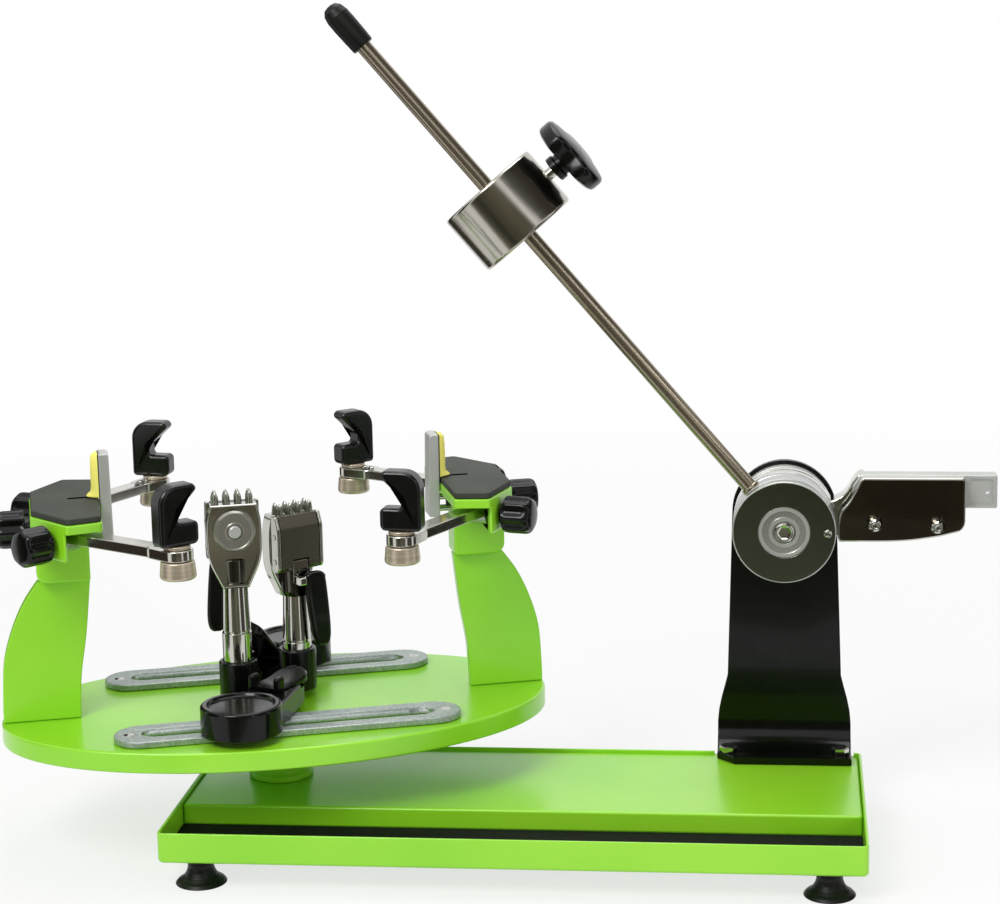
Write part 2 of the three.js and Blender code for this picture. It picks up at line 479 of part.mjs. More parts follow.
// Base, lock lever, tube with fixed jaw, moving jaw and lever of one clamp.
function makeClamp(clamp, table) {
  const slotFloor = turntable.top + gap;
  const rest = rail.thickness + gap;
  const place = carrier(`${clamp.name}_clamp_place`, table, 0, 0, 0);
  place.rotation.z = degrees(clamp.turn);
  const slide = carrier(`${clamp.name}_clamp_slide`, place, clamp.railX, -rail.centre, slotFloor);
  const shoeProfile = [[0, 0], [shoe.radius, 0], [shoe.radius, rail.thickness], [shoe.pin, rail.thickness],
    [shoe.pin, rest + shoe.pinRise], [0, rest + shoe.pinRise]];
  piece(`${clamp.name}_slide_shoe`, turned(shoeProfile, sides.small), materials.steel, slide);
  const swivel = carrier(`${clamp.name}_clamp_swivel`, slide, 0, 0, rest);

  const dish = rodAlongZ(base.dish, base.height - base.dishDepth, base.height + overrun, sides.round);
  const disc = cut(rodAlongZ(base.disc, 0, base.height, sides.round), dish).translate(0, -base.discBack, 0);
  const armPlan = bar(0, 0, half(base.armWidth), base.collarX, base.collarY, base.collar, sides.small / 2);
  const armBar = slab(armPlan, base.armHeight);
  const collar = rodAlongZ(base.collar, 0, base.collarHeight, sides.round)
    .translate(base.collarX, base.collarY, 0);
  const boxHalf = half(base.boxWidth);
  const housing = slab(roundedBox(base.boxStart, base.boxEnd, -boxHalf, boxHalf, half(boxHalf)),
    base.boxHeight).rotateZ(degrees(base.boxAngle));
  const pinBore = rodAlongZ(shoe.pin + gap, -overrun, shoe.pinRise + gap, sides.small);
  const socket = rodAlongZ(tube.radius + gap, -overrun, base.collarHeight + overrun, sides.round)
    .translate(base.collarX, base.collarY, 0);
  const lockHalf = half(lock.width);
  const saddle = box(lock.start - lock.knuckle - gap, lock.start + lock.length + gap,
    -lockHalf - overrun, lockHalf + overrun, base.boxHeight - half(lock.knuckle),
    base.boxHeight + overrun).rotateZ(degrees(base.boxAngle));
  piece(`${clamp.name}_clamp_base`, cut(join(disc, armBar, collar, housing), pinBore, socket, saddle),
    materials.black, swivel);

  // Lock lever: thumb paddle on a cross pivot near the disc.
  const lockTurn = carrier(`${clamp.name}_lock_aim`, swivel, 0, 0, base.boxHeight + gap);
  lockTurn.rotation.z = degrees(base.boxAngle);
  const lockHinge = carrier(`${clamp.name}_lock_turn`, lockTurn, lock.start, 0, 0);
  lockHinge.rotation.y = degrees(-clamp.lockTilt);
  const [lockLow, lockTop] = [-half(lock.knuckle), half(lock.thickness)];
  const paddle = standing([[0, lockLow], [lock.length, lockLow], [lock.length, lockTop + lock.dish],
    [lock.length - lock.thickness, lockTop], [half(lock.length), lockTop - lock.dish],
    [lock.thickness, lockTop], [0, lockTop], [lockLow, 0]], lock.width);
  const finCentre = lockHalf - half(lock.fin);
  const fins = [-1, 1].map((side) => box(lockLow, lock.fin - lockLow, side * finCentre - half(lock.fin),
    side * finCentre + half(lock.fin), 0, lock.finRise + lockTop));
  piece(`${clamp.name}_lock_lever`, join(paddle, ...fins), materials.black, lockHinge);

  // Tube with the fixed jaw. Its frame starts at the collar's rim when the clamp is up.
  const rise = carrier(`${clamp.name}_head_turn`, swivel, base.collarX, base.collarY,
    base.collarHeight - clamp.drop);
  rise.rotation.z = degrees(clamp.headTurn);
  const jawLow = tube.length + head.taper;
  const jawTop = jawLow + head.height;
  const near = half(jaw.gape);
  const front = -head.depth - near;
  const tubeProfile = [[0, -tube.inCollar], [tube.radius, -tube.inCollar], [tube.radius, tube.ringAt],
    [tube.radius - tube.ring, tube.ringAt], [tube.radius - tube.ring, tube.ringAt + tube.ringHeight],
    [tube.radius - half(tube.ring), tube.ringAt + tube.ringHeight], [tube.shoulder, tube.length],
    [tube.shoulder, tube.length + overrun], [0, tube.length + overrun]];
  const wide = half(head.width);
  const taperShape = [[-head.neckHalf, tube.length], [head.neckHalf, tube.length], [wide, jawLow],
    [wide, jawTop], [-wide, jawTop], [-wide, jawLow]];
  const fixedBody = standing(taperShape, head.depth).translate(0, front + half(head.depth), 0);
  const root = rodAlongZ(head.neckHalf, tube.length, tube.length + half(head.taper), sides.round);
  const cover = rodAlongY(head.cap, front - head.capRise, front + overrun, sides.round);
  const coverPin = rodAlongY(head.pin, front - head.capRise - head.pinRise, front, sides.small);
  const toothRow = (y0, y1) => Array.from({ length: teeth }, (_, i) => {
    const x = (i - half(teeth - 1)) * head.pitch;
    const shoulder = half(head.tooth) * toothShoulderShares.across;
    const shoulderHeight = jawTop + head.toothHeight * toothShoulderShares.up;
    const tooth = [[x - half(head.tooth), jawTop - overrun], [x + half(head.tooth), jawTop - overrun],
      [x + shoulder, shoulderHeight], [x, jawTop + head.toothHeight], [x - shoulder, shoulderHeight]];
    return standing(tooth, y1 - y0).translate(0, half(y0 + y1), 0);
  });
  // The squeeze lever hangs behind the tube, on a pin that a second lug holds.
  const leverSide = lever.x + half(lever.width) + gap;
  const leverHeight = tube.length + lever.hinge;
  const leverPlace = tube.radius + lever.stand + half(lever.thickness);
  const leverPin = rodAlongX(lever.pin, lever.x - half(lever.width), leverSide + overrun, sides.screw)
    .translate(0, leverPlace, leverHeight);
  const leverLug = box(leverSide, leverSide + lever.lug, 0, leverPlace + lever.lugHalf,
    leverHeight - lever.lugHalf, leverHeight + half(lever.lugHalf));
  // The moving jaw hangs on a pin through a lug that stands on the tube.
  const jawBottom = jawLow - jaw.low;
  const hingeZ = jawBottom + jaw.pinRise;
  const hingeY = near + half(jaw.depth);
  const jawPin = rodAlongX(jaw.pin, -jaw.pinHalf, jaw.pinHalf, sides.small).translate(0, hingeY, hingeZ);
  const lug = (across, reach) => box(-across, across, hingeY - reach, hingeY + reach,
    tube.length + half(head.taper) - overrun, hingeZ + reach);
  piece(`${clamp.name}_clamp_post`, join(
    turned(tubeProfile, sides.round),
    fixedBody,
    root,
    join(cover, coverPin).translate(0, 0, jawLow + head.capHeight),
    leverPin,
    leverLug,
    jawPin,
    lug(jaw.lugHalf, jaw.lugReach),
    ...toothRow(-near - half(head.depth), -near),
  ), materials.chrome, rise);

  const jawHinge = carrier(`${clamp.name}_jaw_turn`, rise, 0, hingeY, hingeZ);
  const far = near + jaw.depth;
  const jawFace = [[near, jawBottom], [near, jawTop], [far - jaw.chamfer, jawTop],
    [far, jawTop - 2 * jaw.chamfer], [far, jawBottom + jaw.chamfer],
    [far - half(jaw.chamfer), jawBottom]];
  const jawBody = slab(jawFace, head.width - 2 * gap).rotateX(degrees(90)).rotateZ(degrees(90))
    .translate(gap - wide, 0, 0);
  const jawBore = rodAlongX(jaw.pin + gap, -jaw.pinHalf - gap, jaw.pinHalf + gap, sides.small)
    .translate(0, hingeY, hingeZ);
  const lugLimit = box(-wide, wide, -far, 2 * far, tube.length, hingeZ + jaw.lugReach + 2 * gap);
  const lugRoom = common(lug(jaw.lugHalf + gap, jaw.depth), lugLimit);
  const toothedJaw = join(jawBody, ...toothRow(near, near + half(jaw.depth)));
  piece(`${clamp.name}_clamp_jaw`, cut(toothedJaw, jawBore, lugRoom).translate(0, -hingeY, -hingeZ),
    materials.chrome, jawHinge);

  const leverHinge = carrier(`${clamp.name}_lever_turn`, rise, lever.x, leverPlace, leverHeight);
  const edge = (side) => leverShares.map(([across, up]) =>
    [side * half(lever.width) * across + lever.lean * up, lever.length * up]);
  const leverBody = standing([...edge(1), ...edge(-1).reverse()], lever.thickness);
  const leverBore = rodAlongX(lever.pin + gap, -lever.width, lever.width, sides.screw);
  piece(`${clamp.name}_clamp_lever`, cut(leverBody, leverBore), materials.plastic, leverHinge);
}

// Bent upright, its bolts, and everything that turns on the drum's axis.
function makeTensionHead() {
  const u = upright;
  const low = cover.top + gap;
  const side = [[u.flangeFront, low], [u.face - u.bend, low],
    ...arc(u.face - u.bend, low + u.sheet + u.bend, u.bend + u.sheet, 270, 360, 6).slice(1),
    [u.face + u.sheet, drum.height + u.topHalf + overrun], [u.face, drum.height + u.topHalf + overrun],
    ...arc(u.face - u.bend, low + u.sheet + u.bend, u.bend, 360, 270, 6), [u.flangeFront, low + u.sheet]];
  const bent = slab(side, 2 * u.footHalf + 2 * overrun).rotateX(degrees(90)).rotateZ(degrees(90))
    .translate(u.x - u.footHalf - overrun, 0, 0);
  const faceShape = [[-u.footHalf, low - overrun], [u.footHalf, low - overrun], [u.footHalf, u.footHeight],
    [u.kneeHalf, u.kneeHeight], [u.waistHalf, u.waistHeight],
    ...arc(0, drum.height, u.topHalf, 0, 180, sides.small),
    [-u.waistHalf, u.waistHeight], [-u.kneeHalf, u.kneeHeight], [-u.footHalf, u.footHeight]];
  const trim = standing(faceShape, 2 * u.face).translate(u.x, u.face, 0);
  const spacerFront = drum.ringFront + drum.ringDepth + drum.bodyDepth + 3 * gap;
  const spacer = rodAlongY(u.spacer, spacerFront, u.face + overrun, sides.round)
    .translate(u.x, 0, drum.height);
  const cornerX = u.x - u.footHalf - overrun;
  const cornerY = u.flangeFront - overrun;
  const leftCorner = slab([[cornerX, cornerY], [u.x - u.footHalf + u.chamfer, cornerY],
    [cornerX, u.flangeFront + u.chamfer]], 2 * u.sheet).translate(0, 0, low - overrun);
  const axleBore = rodAlongY(axle.radius + gap, drum.ringFront, u.face + u.sheet + overrun, sides.round)
    .translate(u.x, 0, drum.height);
  const sheet = common(bent, trim);
  const boltProfile = [[0, -overrun], [bolt.radius, -overrun], [bolt.radius, bolt.rise - bolt.edge],
    [bolt.radius - bolt.edge, bolt.rise], [0, bolt.rise]];
  const bolts = [-1, 1].map((way) => turned(boltProfile, sides.hexagon)
    .translate(u.x + way * (u.footHalf - bolt.inset), u.flangeFront + bolt.fromFront, low + u.sheet));
  piece('drum_bracket', cut(join(sheet, spacer, ...bolts), leftCorner, axleBore), materials.black, model);

  // Axle bolt, one piece with the inner rings of the bearing in the front disc.
  const bearingFront = drum.front + axle.recess;
  const bearing = [[0, bearingFront + axle.raceDepth], [axle.race, bearingFront + axle.raceDepth],
    [axle.race, bearingFront], [axle.ring, bearingFront], [axle.ring, drum.front + drum.disc],
    [0, drum.front + drum.disc]];
  const axleBolt = join(
    alongY(bearing, sides.round),
    rodAlongY(axle.head, bearingFront, bearingFront + axle.headDepth, sides.small),
    rodAlongY(axle.radius, bearingFront + axle.headDepth, u.face + u.sheet, sides.round),
  );
  const socket = rodAlongY(axle.socket, drum.front, bearingFront + axle.socketDepth, sides.hexagon);
  piece('drum_axle', cut(axleBolt, socket).translate(u.x, 0, drum.height), materials.steel, model);

  const turningDrum = carrier('drum_turn', model, u.x, 0, drum.height);
  makeFrontDisc(turningDrum);
  makeRod(turningDrum);
  makeGripper(turningDrum);
}

// Profile of a ring with both outer edges broken, as radii and places along its axis.
function ringProfile(inner, outer, start, end, edge) {
  return [[inner, start], [outer - edge, start], [outer, start + edge], [outer, end - edge],
    [outer - edge, end], [inner, end], [inner, start]];
}

function makeFrontDisc(parent) {
  const rim = ringProfile(drum.seat, drum.radius, drum.front, drum.front + drum.disc, drum.edge);
  const mark = rodAlongY(drum.mark, drum.front - overrun, drum.front + drum.markDepth, sides.small)
    .translate(drum.markReach, 0, 0);
  piece('drum_front_disc', cut(alongY(rim, sides.large), mark), materials.black, parent);
}

// Rear half of the drum, with the core that runs forward inside the rod's ring.
function drumBody() {
  const front = drum.ringFront + drum.ringDepth + gap;
  const back = front + drum.bodyDepth;
  const profile = [[drum.bore, drum.ringFront], [drum.core, drum.ringFront],
    ...ringProfile(drum.core, drum.radius, front, back, drum.edge).slice(0, 5), [drum.bore, back],
    [drum.bore, drum.ringFront]];
  return alongY(profile, sides.large);
}

// Ring on the drum's core, the rod in it, the rubber cap and the sliding weight.
function makeRod(parent) {
  const tilt = carrier('rod_turn', parent, 0, drum.ringFront + half(drum.ringDepth), 0);
  const aim = carrier('rod_aim', tilt, 0, 0, 0);
  aim.rotation.y = degrees(rod.lean - 90);
  const halfRing = half(drum.ringDepth) - half(gap);
  const ring = turned(ringProfile(drum.core + gap, drum.radius, -halfRing, halfRing, drum.edge),
    sides.large).rotateX(degrees(90));
  const ferrule = rodAlongZ(rod.ferrule, drum.core + 2 * overrun, rod.ferruleEnd, sides.small);
  const seat = rodAlongZ(rod.radius + gap, rod.root - gap, rod.ferruleEnd + overrun, sides.small);
  piece('rod_ring', cut(join(ring, ferrule), seat), materials.chrome, aim);

  piece('weight_rod', rodAlongZ(rod.radius, rod.root, rod.end, sides.small), materials.steel, aim);
  const capTip = capTipShares.map(([out, down]) => [cap.radius * out, cap.end - cap.round * down]);
  const capProfile = [[0, rod.end + gap], [rod.radius + gap, rod.end + gap],
    [rod.radius + gap, cap.start], [cap.radius, cap.start], [cap.radius, cap.end - cap.round],
    ...capTip, [0, cap.end]];
  piece('rod_cap', turned(capProfile, sides.medium), materials.plastic, aim);

  const slide = carrier('weight_slide', aim, 0, 0, weight.at);
  const top = half(weight.length);
  const weightProfile = ringProfile(weight.bore, weight.radius, -top, top, weight.edge);
  const screwBore = rodAlongX(weight.screwBore, weight.bore - overrun, weight.radius + overrun,
    sides.screw);
  piece('sliding_weight', cut(turned(weightProfile, sides.large), screwBore), materials.steel, slide);

  const knobTurn = carrier('weight_knob_turn', slide, 0, 0, 0);
  knobTurn.rotation.y = degrees(90);
  const k = weightKnob;
  const lobe = 360 / k.lobes;
  const outline = Array.from({ length: k.lobes }, (_, i) => [
    ...arc(0, 0, k.body, k.turn + (i - lobeShares.crest) * lobe, k.turn + (i + lobeShares.crest) * lobe,
      sides.small / 2),
    ...arc(0, 0, k.valley, k.turn + (i + lobeShares.valleyStart) * lobe,
      k.turn + (i + lobeShares.valleyEnd) * lobe, sides.corner),
  ]).flat();
  const lobed = slab(outline, k.bodyEnd - k.collarEnd).translate(0, 0, k.collarEnd);
  const shell = turned([[0, k.collarEnd - overrun], [k.body, k.collarEnd - overrun],
    [k.body, k.bodyEnd - half(k.dome)], [k.valley, k.bodyEnd - half(k.dome) / 4], [0, k.bodyEnd]],
  sides.round);
  const stem = rodAlongZ(k.collar, k.collarStart, k.collarEnd + overrun, sides.small);
  const screw = rodAlongZ(k.screw, weight.bore + gap, k.collarStart + overrun, sides.screw);
  piece('weight_knob', join(common(lobed, shell), stem, screw), materials.plastic, knobTurn);
}

// Fixed jaw and neck as one body with the drum, and the moving jaw on two guide pins.
function makeGripper(parent) {
  const g = gripper;
  const bodyBack = drum.ringFront + drum.ringDepth + gap + drum.bodyDepth;
  const bottom = new THREE.QuadraticBezierCurve(new THREE.Vector2(g.left - g.corner, g.low),
    new THREE.Vector2(half(g.left + g.right), g.low), new THREE.Vector2(g.right, g.lowRight))
    .getPoints(4).map((p) => [p.x, p.y]);
  const leftEdge = [[g.left, g.top], [g.left - g.corner, g.top - 2 * g.corner], ...bottom];
  const jawShape = [...leftEdge, [g.right, g.top - half(g.corner)], [g.right - half(g.corner), g.top]]
    .reverse();
  const longShape = [...leftEdge, [g.right, g.reachLow], [g.reach, g.reachLow], [g.reach, g.top]]
    .reverse();
  const fixed = standing(longShape, g.back - g.fixedFront)
    .translate(0, half(g.back + g.fixedFront), 0);
  const neckShape = [[g.neckStart, g.low], [g.left + overrun, g.low], [g.left + overrun, g.top],
    [g.left - g.corner, g.top - 2 * g.corner], [g.neckStart, g.neckRise]];
  const bridge = standing(neckShape, bodyBack - g.neckFront - 2 * gap)
    .translate(0, half(bodyBack + g.neckFront), 0);
  const pinFront = g.front - g.pinStand;
  const pins = g.pinX.map((x, i) => join(
    rodAlongY(g.pin, pinFront, g.fixedFront + overrun, sides.small),
    rodAlongY(g.pinHead, pinFront - g.pinHeadDepth, pinFront, sides.small),
  ).translate(x, 0, g.pinY[i]));
  piece('tension_drum', join(drumBody(), bridge, fixed, ...pins), materials.chrome, parent);

  const jawSlide = carrier('gripper_jaw_slide', parent, 0, 0, 0);
  const bores = g.pinX.map((x, i) => rodAlongY(g.pin + gap, g.front - overrun, g.jawBack + overrun,
    sides.small).translate(x, 0, g.pinY[i]));
  const front = standing(jawShape, g.jawBack - g.front).translate(0, half(g.jawBack + g.front), 0);
  piece('gripper_jaw', cut(front, ...bores), materials.chrome, jawSlide);
}

makeBase();
makeTurntable();
makeTensionHead();

// The origin is the middle of the footprint, on the table.
machine.updateMatrixWorld(true);
const bounds = new THREE.Box3().setFromObject(machine, true);
const middle = bounds.getCenter(new THREE.Vector3());
model.position.set(-middle.x, -middle.y, -bounds.min.z);

export default machine;
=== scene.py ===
# %% [markdown]
# # A drop-weight racket stringer
# This notebook dresses a small table-top machine that strings rackets. A low
# tray on suction feet carries an oval turntable with two racket mounts and
# two string clamps, and an upright with a drum, a weighted rod and a gripper.
# The exact solids come first: they are the frame that every piece is set on,
# so nothing here has to be fitted by eye.

# %% Load the exact model
import json
import math
import bpy
from mathutils import Matrix, Vector
from mathutils.geometry import tessellate_polygon


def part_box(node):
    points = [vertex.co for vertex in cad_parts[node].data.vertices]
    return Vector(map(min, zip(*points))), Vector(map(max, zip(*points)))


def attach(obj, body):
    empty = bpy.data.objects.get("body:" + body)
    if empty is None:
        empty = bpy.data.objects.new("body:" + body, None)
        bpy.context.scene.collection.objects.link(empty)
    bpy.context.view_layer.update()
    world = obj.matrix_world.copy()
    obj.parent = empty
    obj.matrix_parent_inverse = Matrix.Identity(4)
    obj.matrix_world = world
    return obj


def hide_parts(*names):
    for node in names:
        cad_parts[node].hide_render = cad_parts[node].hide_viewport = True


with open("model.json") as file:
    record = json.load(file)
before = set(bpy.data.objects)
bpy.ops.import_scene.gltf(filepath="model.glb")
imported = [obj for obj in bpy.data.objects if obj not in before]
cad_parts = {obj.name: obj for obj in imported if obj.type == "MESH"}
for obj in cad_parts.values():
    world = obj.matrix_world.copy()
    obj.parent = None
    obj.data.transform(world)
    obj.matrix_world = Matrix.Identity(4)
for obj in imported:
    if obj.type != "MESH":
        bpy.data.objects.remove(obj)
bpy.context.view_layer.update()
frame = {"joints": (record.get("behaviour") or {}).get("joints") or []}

scene = bpy.context.scene

# %% [markdown]
# ## Places
# Sizes are easiest to read in millimetres, and Blender counts in metres, so
# one factor turns the first into the second. Every place is taken from the
# model: the tray's low corner starts the base's own frame, and each joint
# says where its piece turns and about which axis.

# %% Frames of the base and of the turntable
MM = 0.001
tray_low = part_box("base_tray")[0]
BASE = Matrix.Translation((tray_low.x, tray_low.y, 0))
joints = {j["name"]: j for j in frame["joints"]}


def move(x=0, y=0, z=0):
    return Matrix.Translation((x * MM, y * MM, z * MM))


def turn(angle, axis):
    return Matrix.Rotation(math.radians(angle), 4, axis)


def along(point, axis, sideways=None):
    """A frame at a point in metres, with its Z along the axis and its X near sideways."""
    up = Vector(axis).normalized()
    first = Vector(sideways or (0, 0, 1))
    first = (first - up * first.dot(up)).normalized()
    second = up.cross(first)
    turned = Matrix((first, second, up)).transposed().to_4x4()
    return Matrix.Translation(Vector(point)) @ turned


def at_joint(name, sideways=None):
    return along(joints[name]["pos_m"], joints[name]["axis"], sideways)


table_x = Vector(joints["front_clamp_slide"]["axis"])
table_angle = math.degrees(math.atan2(table_x.y, table_x.x))
TABLE = Matrix.Translation(Vector(joints["turntable_turn"]["pos_m"])) @ turn(table_angle, "Z")
print("turntable is turned by", round(table_angle, 2), "degrees")

# %% [markdown]
# ## The camera
# The photograph looks slightly down on the machine from the front left. The
# lens, tilt and shift below put the tray, the mounts and the tip of the rod
# where they stand in it. The shift moves the picture without tilting the
# upright lines, as an architect's lens does.

# %% Camera
CAMERA_SPOT = (409.366, -1457.603, 589.276)
YAW, PITCH, ROLL = -0.0956, 0.1778, -0.0154
LENS = {"sensor_width": 36, "lens": 86.74, "shift_x": -0.0623, "shift_y": -0.0529,
        "clip_start": 0.05, "clip_end": 30}
camera_data = bpy.data.cameras.new("camera")
camera = bpy.data.objects.new("camera", camera_data)
scene.collection.objects.link(camera)
scene.camera = camera
for setting, value in LENS.items():
    setattr(camera_data, setting, value)

ahead = Vector((math.sin(YAW), math.cos(YAW), 0))
right = Vector((math.cos(YAW), -math.sin(YAW), 0))
view = ahead * math.cos(PITCH) - Vector((0, 0, 1)) * math.sin(PITCH)
up = Vector((0, 0, 1)) * math.cos(PITCH) + ahead * math.sin(PITCH)
camera_right = right * math.cos(ROLL) + up * math.sin(ROLL)
camera_up = up * math.cos(ROLL) - right * math.sin(ROLL)
facing = Matrix((camera_right, camera_up, -view)).transposed().to_4x4()
camera.matrix_world = Matrix.Translation(BASE @ (Vector(CAMERA_SPOT) * MM)) @ facing
print("camera stands", round(camera.matrix_world.translation.length, 2), "m away")

# %% [markdown]
# ## Writing shaders as arithmetic
# A procedural finish is mostly maths on socket values: a noise, stretched,
# scaled, mixed. Wiring that by hand is slow to read, so a small class wraps
# a socket and gives it plus, minus and times. Each operator adds the Math
# node that does the sum, and one method makes any other node.

# %% The socket wrapper and the node maker
class Wire:
    """One output socket of a shader tree, for use in ordinary expressions."""

    def __init__(self, nodes, socket):
        self.nodes = nodes
        self.socket = socket

    def math(self, operation, *values, clamp=False):
        return self.nodes.node("ShaderNodeMath", {"operation": operation, "use_clamp": clamp}, *values)

    def __add__(self, other):
        return self.math("ADD", self, other)

    def __sub__(self, other):
        return self.math("SUBTRACT", self, other)

    def __rsub__(self, other):
        return self.math("SUBTRACT", other, self)

    def __mul__(self, other):
        return self.math("MULTIPLY", self, other)

    __radd__ = __add__
    __rmul__ = __mul__

    def clamped(self):
        return self.math("ADD", self, 0.0, clamp=True)


class Nodes:
    """A node tree, with one method that adds a node and wires or sets its inputs."""

    def __init__(self, tree):
        self.tree = tree

    def node(self, kind, settings, *values, output=0, **named):
        made = self.tree.nodes.new(kind)
        for key, value in settings.items():
            setattr(made, key, value)
        pairs = list(enumerate(values)) + [(k.replace("_", " "), v) for k, v in named.items()]
        for key, value in pairs:
            if isinstance(value, Wire):
                self.tree.links.new(value.socket, made.inputs[key])
            elif value is not None:
                made.inputs[key].default_value = value
        return Wire(self, made.outputs[output])

    def blend_shaders(self, share, first, second, ending):
        """Mixes two shaders into the tree's output node."""
        mixed = self.node("ShaderNodeMixShader", {}, share, first, second)
        self.tree.links.new(mixed.socket, self.tree.nodes[ending].inputs["Surface"])

    def background_rays(self):
        """1 for the rays that may see the white background: direct, mirrored and through glass."""
        path = self.node("ShaderNodeLightPath", {}).socket.node
        return sum(Wire(self, path.outputs[f"Is {way} Ray"])
                   for way in ("Camera", "Glossy", "Transmission")).clamped()


class Surface(Nodes):
    """A material under construction, with its Principled shader ready."""

    def __init__(self, name, **constants):
        self.material = bpy.data.materials.new(name)
        self.material.use_nodes = True
        super().__init__(self.material.node_tree)
        self.shader = self.tree.nodes["Principled BSDF"]
        for label, value in constants.items():
            self.shader.inputs[label.replace("_", " ")].default_value = value

    def feed(self, label, wire):
        self.tree.links.new(wire.socket, self.shader.inputs[label])

    def place(self):
        return self.node("ShaderNodeTexCoord", {}, output="Object")

    def stretched(self, x=1.0, y=1.0, z=1.0):
        return self.node("ShaderNodeMapping", {}, self.place(), Scale=(x, y, z))

    def noise(self, scale, detail=3, where=None):
        return self.node("ShaderNodeTexNoise", {}, Vector=where or self.place(), Scale=scale, Detail=detail)

    def ramp(self, wire, low, high):
        """0 below low, 1 above high, straight between them."""
        return self.node("ShaderNodeMapRange", {"clamp": True}, wire, low, high, 0.0, 1.0)

    def mix(self, factor, first, second):
        made = self.tree.nodes.new("ShaderNodeMix")
        made.data_type = "RGBA"
        for index, value in ((0, factor), (6, first), (7, second)):
            if isinstance(value, Wire):
                self.tree.links.new(value.socket, made.inputs[index])
            else:
                made.inputs[index].default_value = value
        return Wire(self, made.outputs[2])

    def bump(self, height, strength, distance):
        bumps = self.node("ShaderNodeBump", {}, Height=height, Strength=strength, Distance=distance)
        self.feed("Normal", bumps)


def shade(red, green, blue):
    """A colour as a screen shows it, 0 to 255, turned into the linear light that a shader takes."""
    parts = [c / 255 for c in (red, green, blue)]
    return [c / 12.92 if c <= 0.04045 else ((c + 0.055) / 1.055) ** 2.4 for c in parts] + [1.0]


print("shader tools ready")

# %% [markdown]
# ## Paint
# The tray, the turntable and the castings carry a lime powder coat. Baked
# powder flows into a skin with a very fine orange peel and a soft gloss. A
# slow noise shifts the green a little, and a small bump gives the peel. One
# paint serves all the green pieces, as it does in the factory.

# %% Lime powder coat
def make_lime_paint():
    paint = Surface("lime_powder_coat", Coat_Weight=0.45, Coat_Roughness=0.16, IOR=1.5)
    drift = paint.ramp(paint.noise(9, 2), 0.35, 0.65)
    green = paint.mix(drift, shade(132, 206, 26), shade(146, 214, 40))
    dust = paint.ramp(paint.noise(420), 0.66, 0.78)
    paint.feed("Base Color", paint.mix(dust * 0.12, green, shade(176, 228, 92)))
    paint.feed("Roughness", 0.27 + paint.noise(60) * 0.12)
    paint.bump(paint.noise(850, 2), strength=0.12, distance=0.0003)
    return paint.material


lime_paint = make_lime_paint()
print("made", lime_paint.name)

# %% [markdown]
# ## Black finishes
# Several blacks meet on this machine. The bracket and the clamp bases are
# painted gloss black, the hooks and knobs are moulded plastic, and the feet
# and the rod's cap are rubber. A thin black sheet lies on the tray's floor in
# front of the platform. They differ in roughness and in the size of their
# grain, not much in colour.

# %% Gloss paint, moulded plastic, rubber and the trough's black sheet
def make_black(name, low, high, roughness, grain, depth, coat=0.0, shine=0.22):
    """A black between two shades, with a grain given by its scale and its depth."""
    black = Surface(name, Coat_Weight=coat, Coat_Roughness=0.05, Specular_IOR_Level=shine)
    cloud = black.ramp(black.noise(26), 0.3, 0.7)
    black.feed("Base Color", black.mix(cloud, shade(*low), shade(*high)))
    black.feed("Roughness", roughness + black.noise(140) * 0.14)
    black.bump(black.noise(grain), strength=0.25, distance=depth)
    return black.material


gloss_black = make_black("gloss_black_paint", (3, 5, 3), (7, 10, 7), 0.12, 700, 0.00006, coat=0.12)
hook_black = make_black("moulded_black_plastic", (5, 7, 5), (10, 13, 10), 0.18, 700, 0.00002, shine=0.45)
knob_black = make_black("polished_black_plastic", (4, 5, 4), (8, 10, 8), 0.16, 600, 0.00004, coat=0.15)
foot_black = make_black("black_rubber", (9, 11, 9), (19, 22, 18), 0.32, 900, 0.0001)
trough_sheet_black = make_black("black_trough_sheet", (4, 5, 4), (9, 10, 9), 0.7, 1800, 0.0003)
print("made", [m.name for m in (gloss_black, hook_black, knob_black, foot_black, trough_sheet_black)])

# %% [markdown]
# ## Metals
# Plated parts reflect the studio almost cleanly, so their colour is plain
# and the interest is in faint smears of roughness. Turned parts keep the
# tool's fine rings: noise stretched flat across the axis gives them, because
# each piece keeps its own axis as Z. The rails are raw castings, dull and
# speckled.

# %% Chrome, turned steel and cast zinc
def make_chrome(name, colour, roughness, smear, metallic=1.0, pitting=0.06):
    """Plated or ground metal. The smear is how much its haze roughens it."""
    steel = Surface(name, Metallic=metallic)
    haze = steel.ramp(steel.noise(34), 0.35, 0.75)
    clean = shade(*colour)
    steel.feed("Base Color", steel.mix(haze, clean, [c * 0.86 for c in clean[:3]] + [1.0]))
    steel.feed("Roughness", roughness + haze * smear)
    if pitting:
        steel.bump(steel.noise(500), strength=pitting, distance=0.00008)
    return steel.material


def make_turned_steel(name, dark, light, roughness, groove=1700, metallic=1.0):
    """Metal with the rings of a lathe tool. A higher groove gives finer rings."""
    steel = Surface(name, Metallic=metallic)
    rings = steel.noise(1.0, 2, where=steel.stretched(6, 6, groove))
    steel.feed("Base Color", steel.mix(steel.ramp(rings, 0.3, 0.7), shade(*dark), shade(*light)))
    steel.feed("Roughness", roughness + rings * 0.08)
    steel.bump(rings, strength=0.1, distance=0.00002)
    return steel.material


def make_cast_zinc():
    zinc = Surface("cast_zinc", Metallic=0.75)
    grain = zinc.noise(520, 5)
    patch = zinc.ramp(zinc.noise(45), 0.3, 0.7)
    grey = zinc.mix(zinc.ramp(grain, 0.35, 0.65), shade(150, 161, 156), shade(190, 198, 193))
    zinc.feed("Base Color", zinc.mix(patch * 0.4, grey, shade(140, 152, 148)))
    zinc.feed("Roughness", 0.36 + grain * 0.22)
    zinc.bump(grain, strength=0.5, distance=0.00025)
    return zinc.material


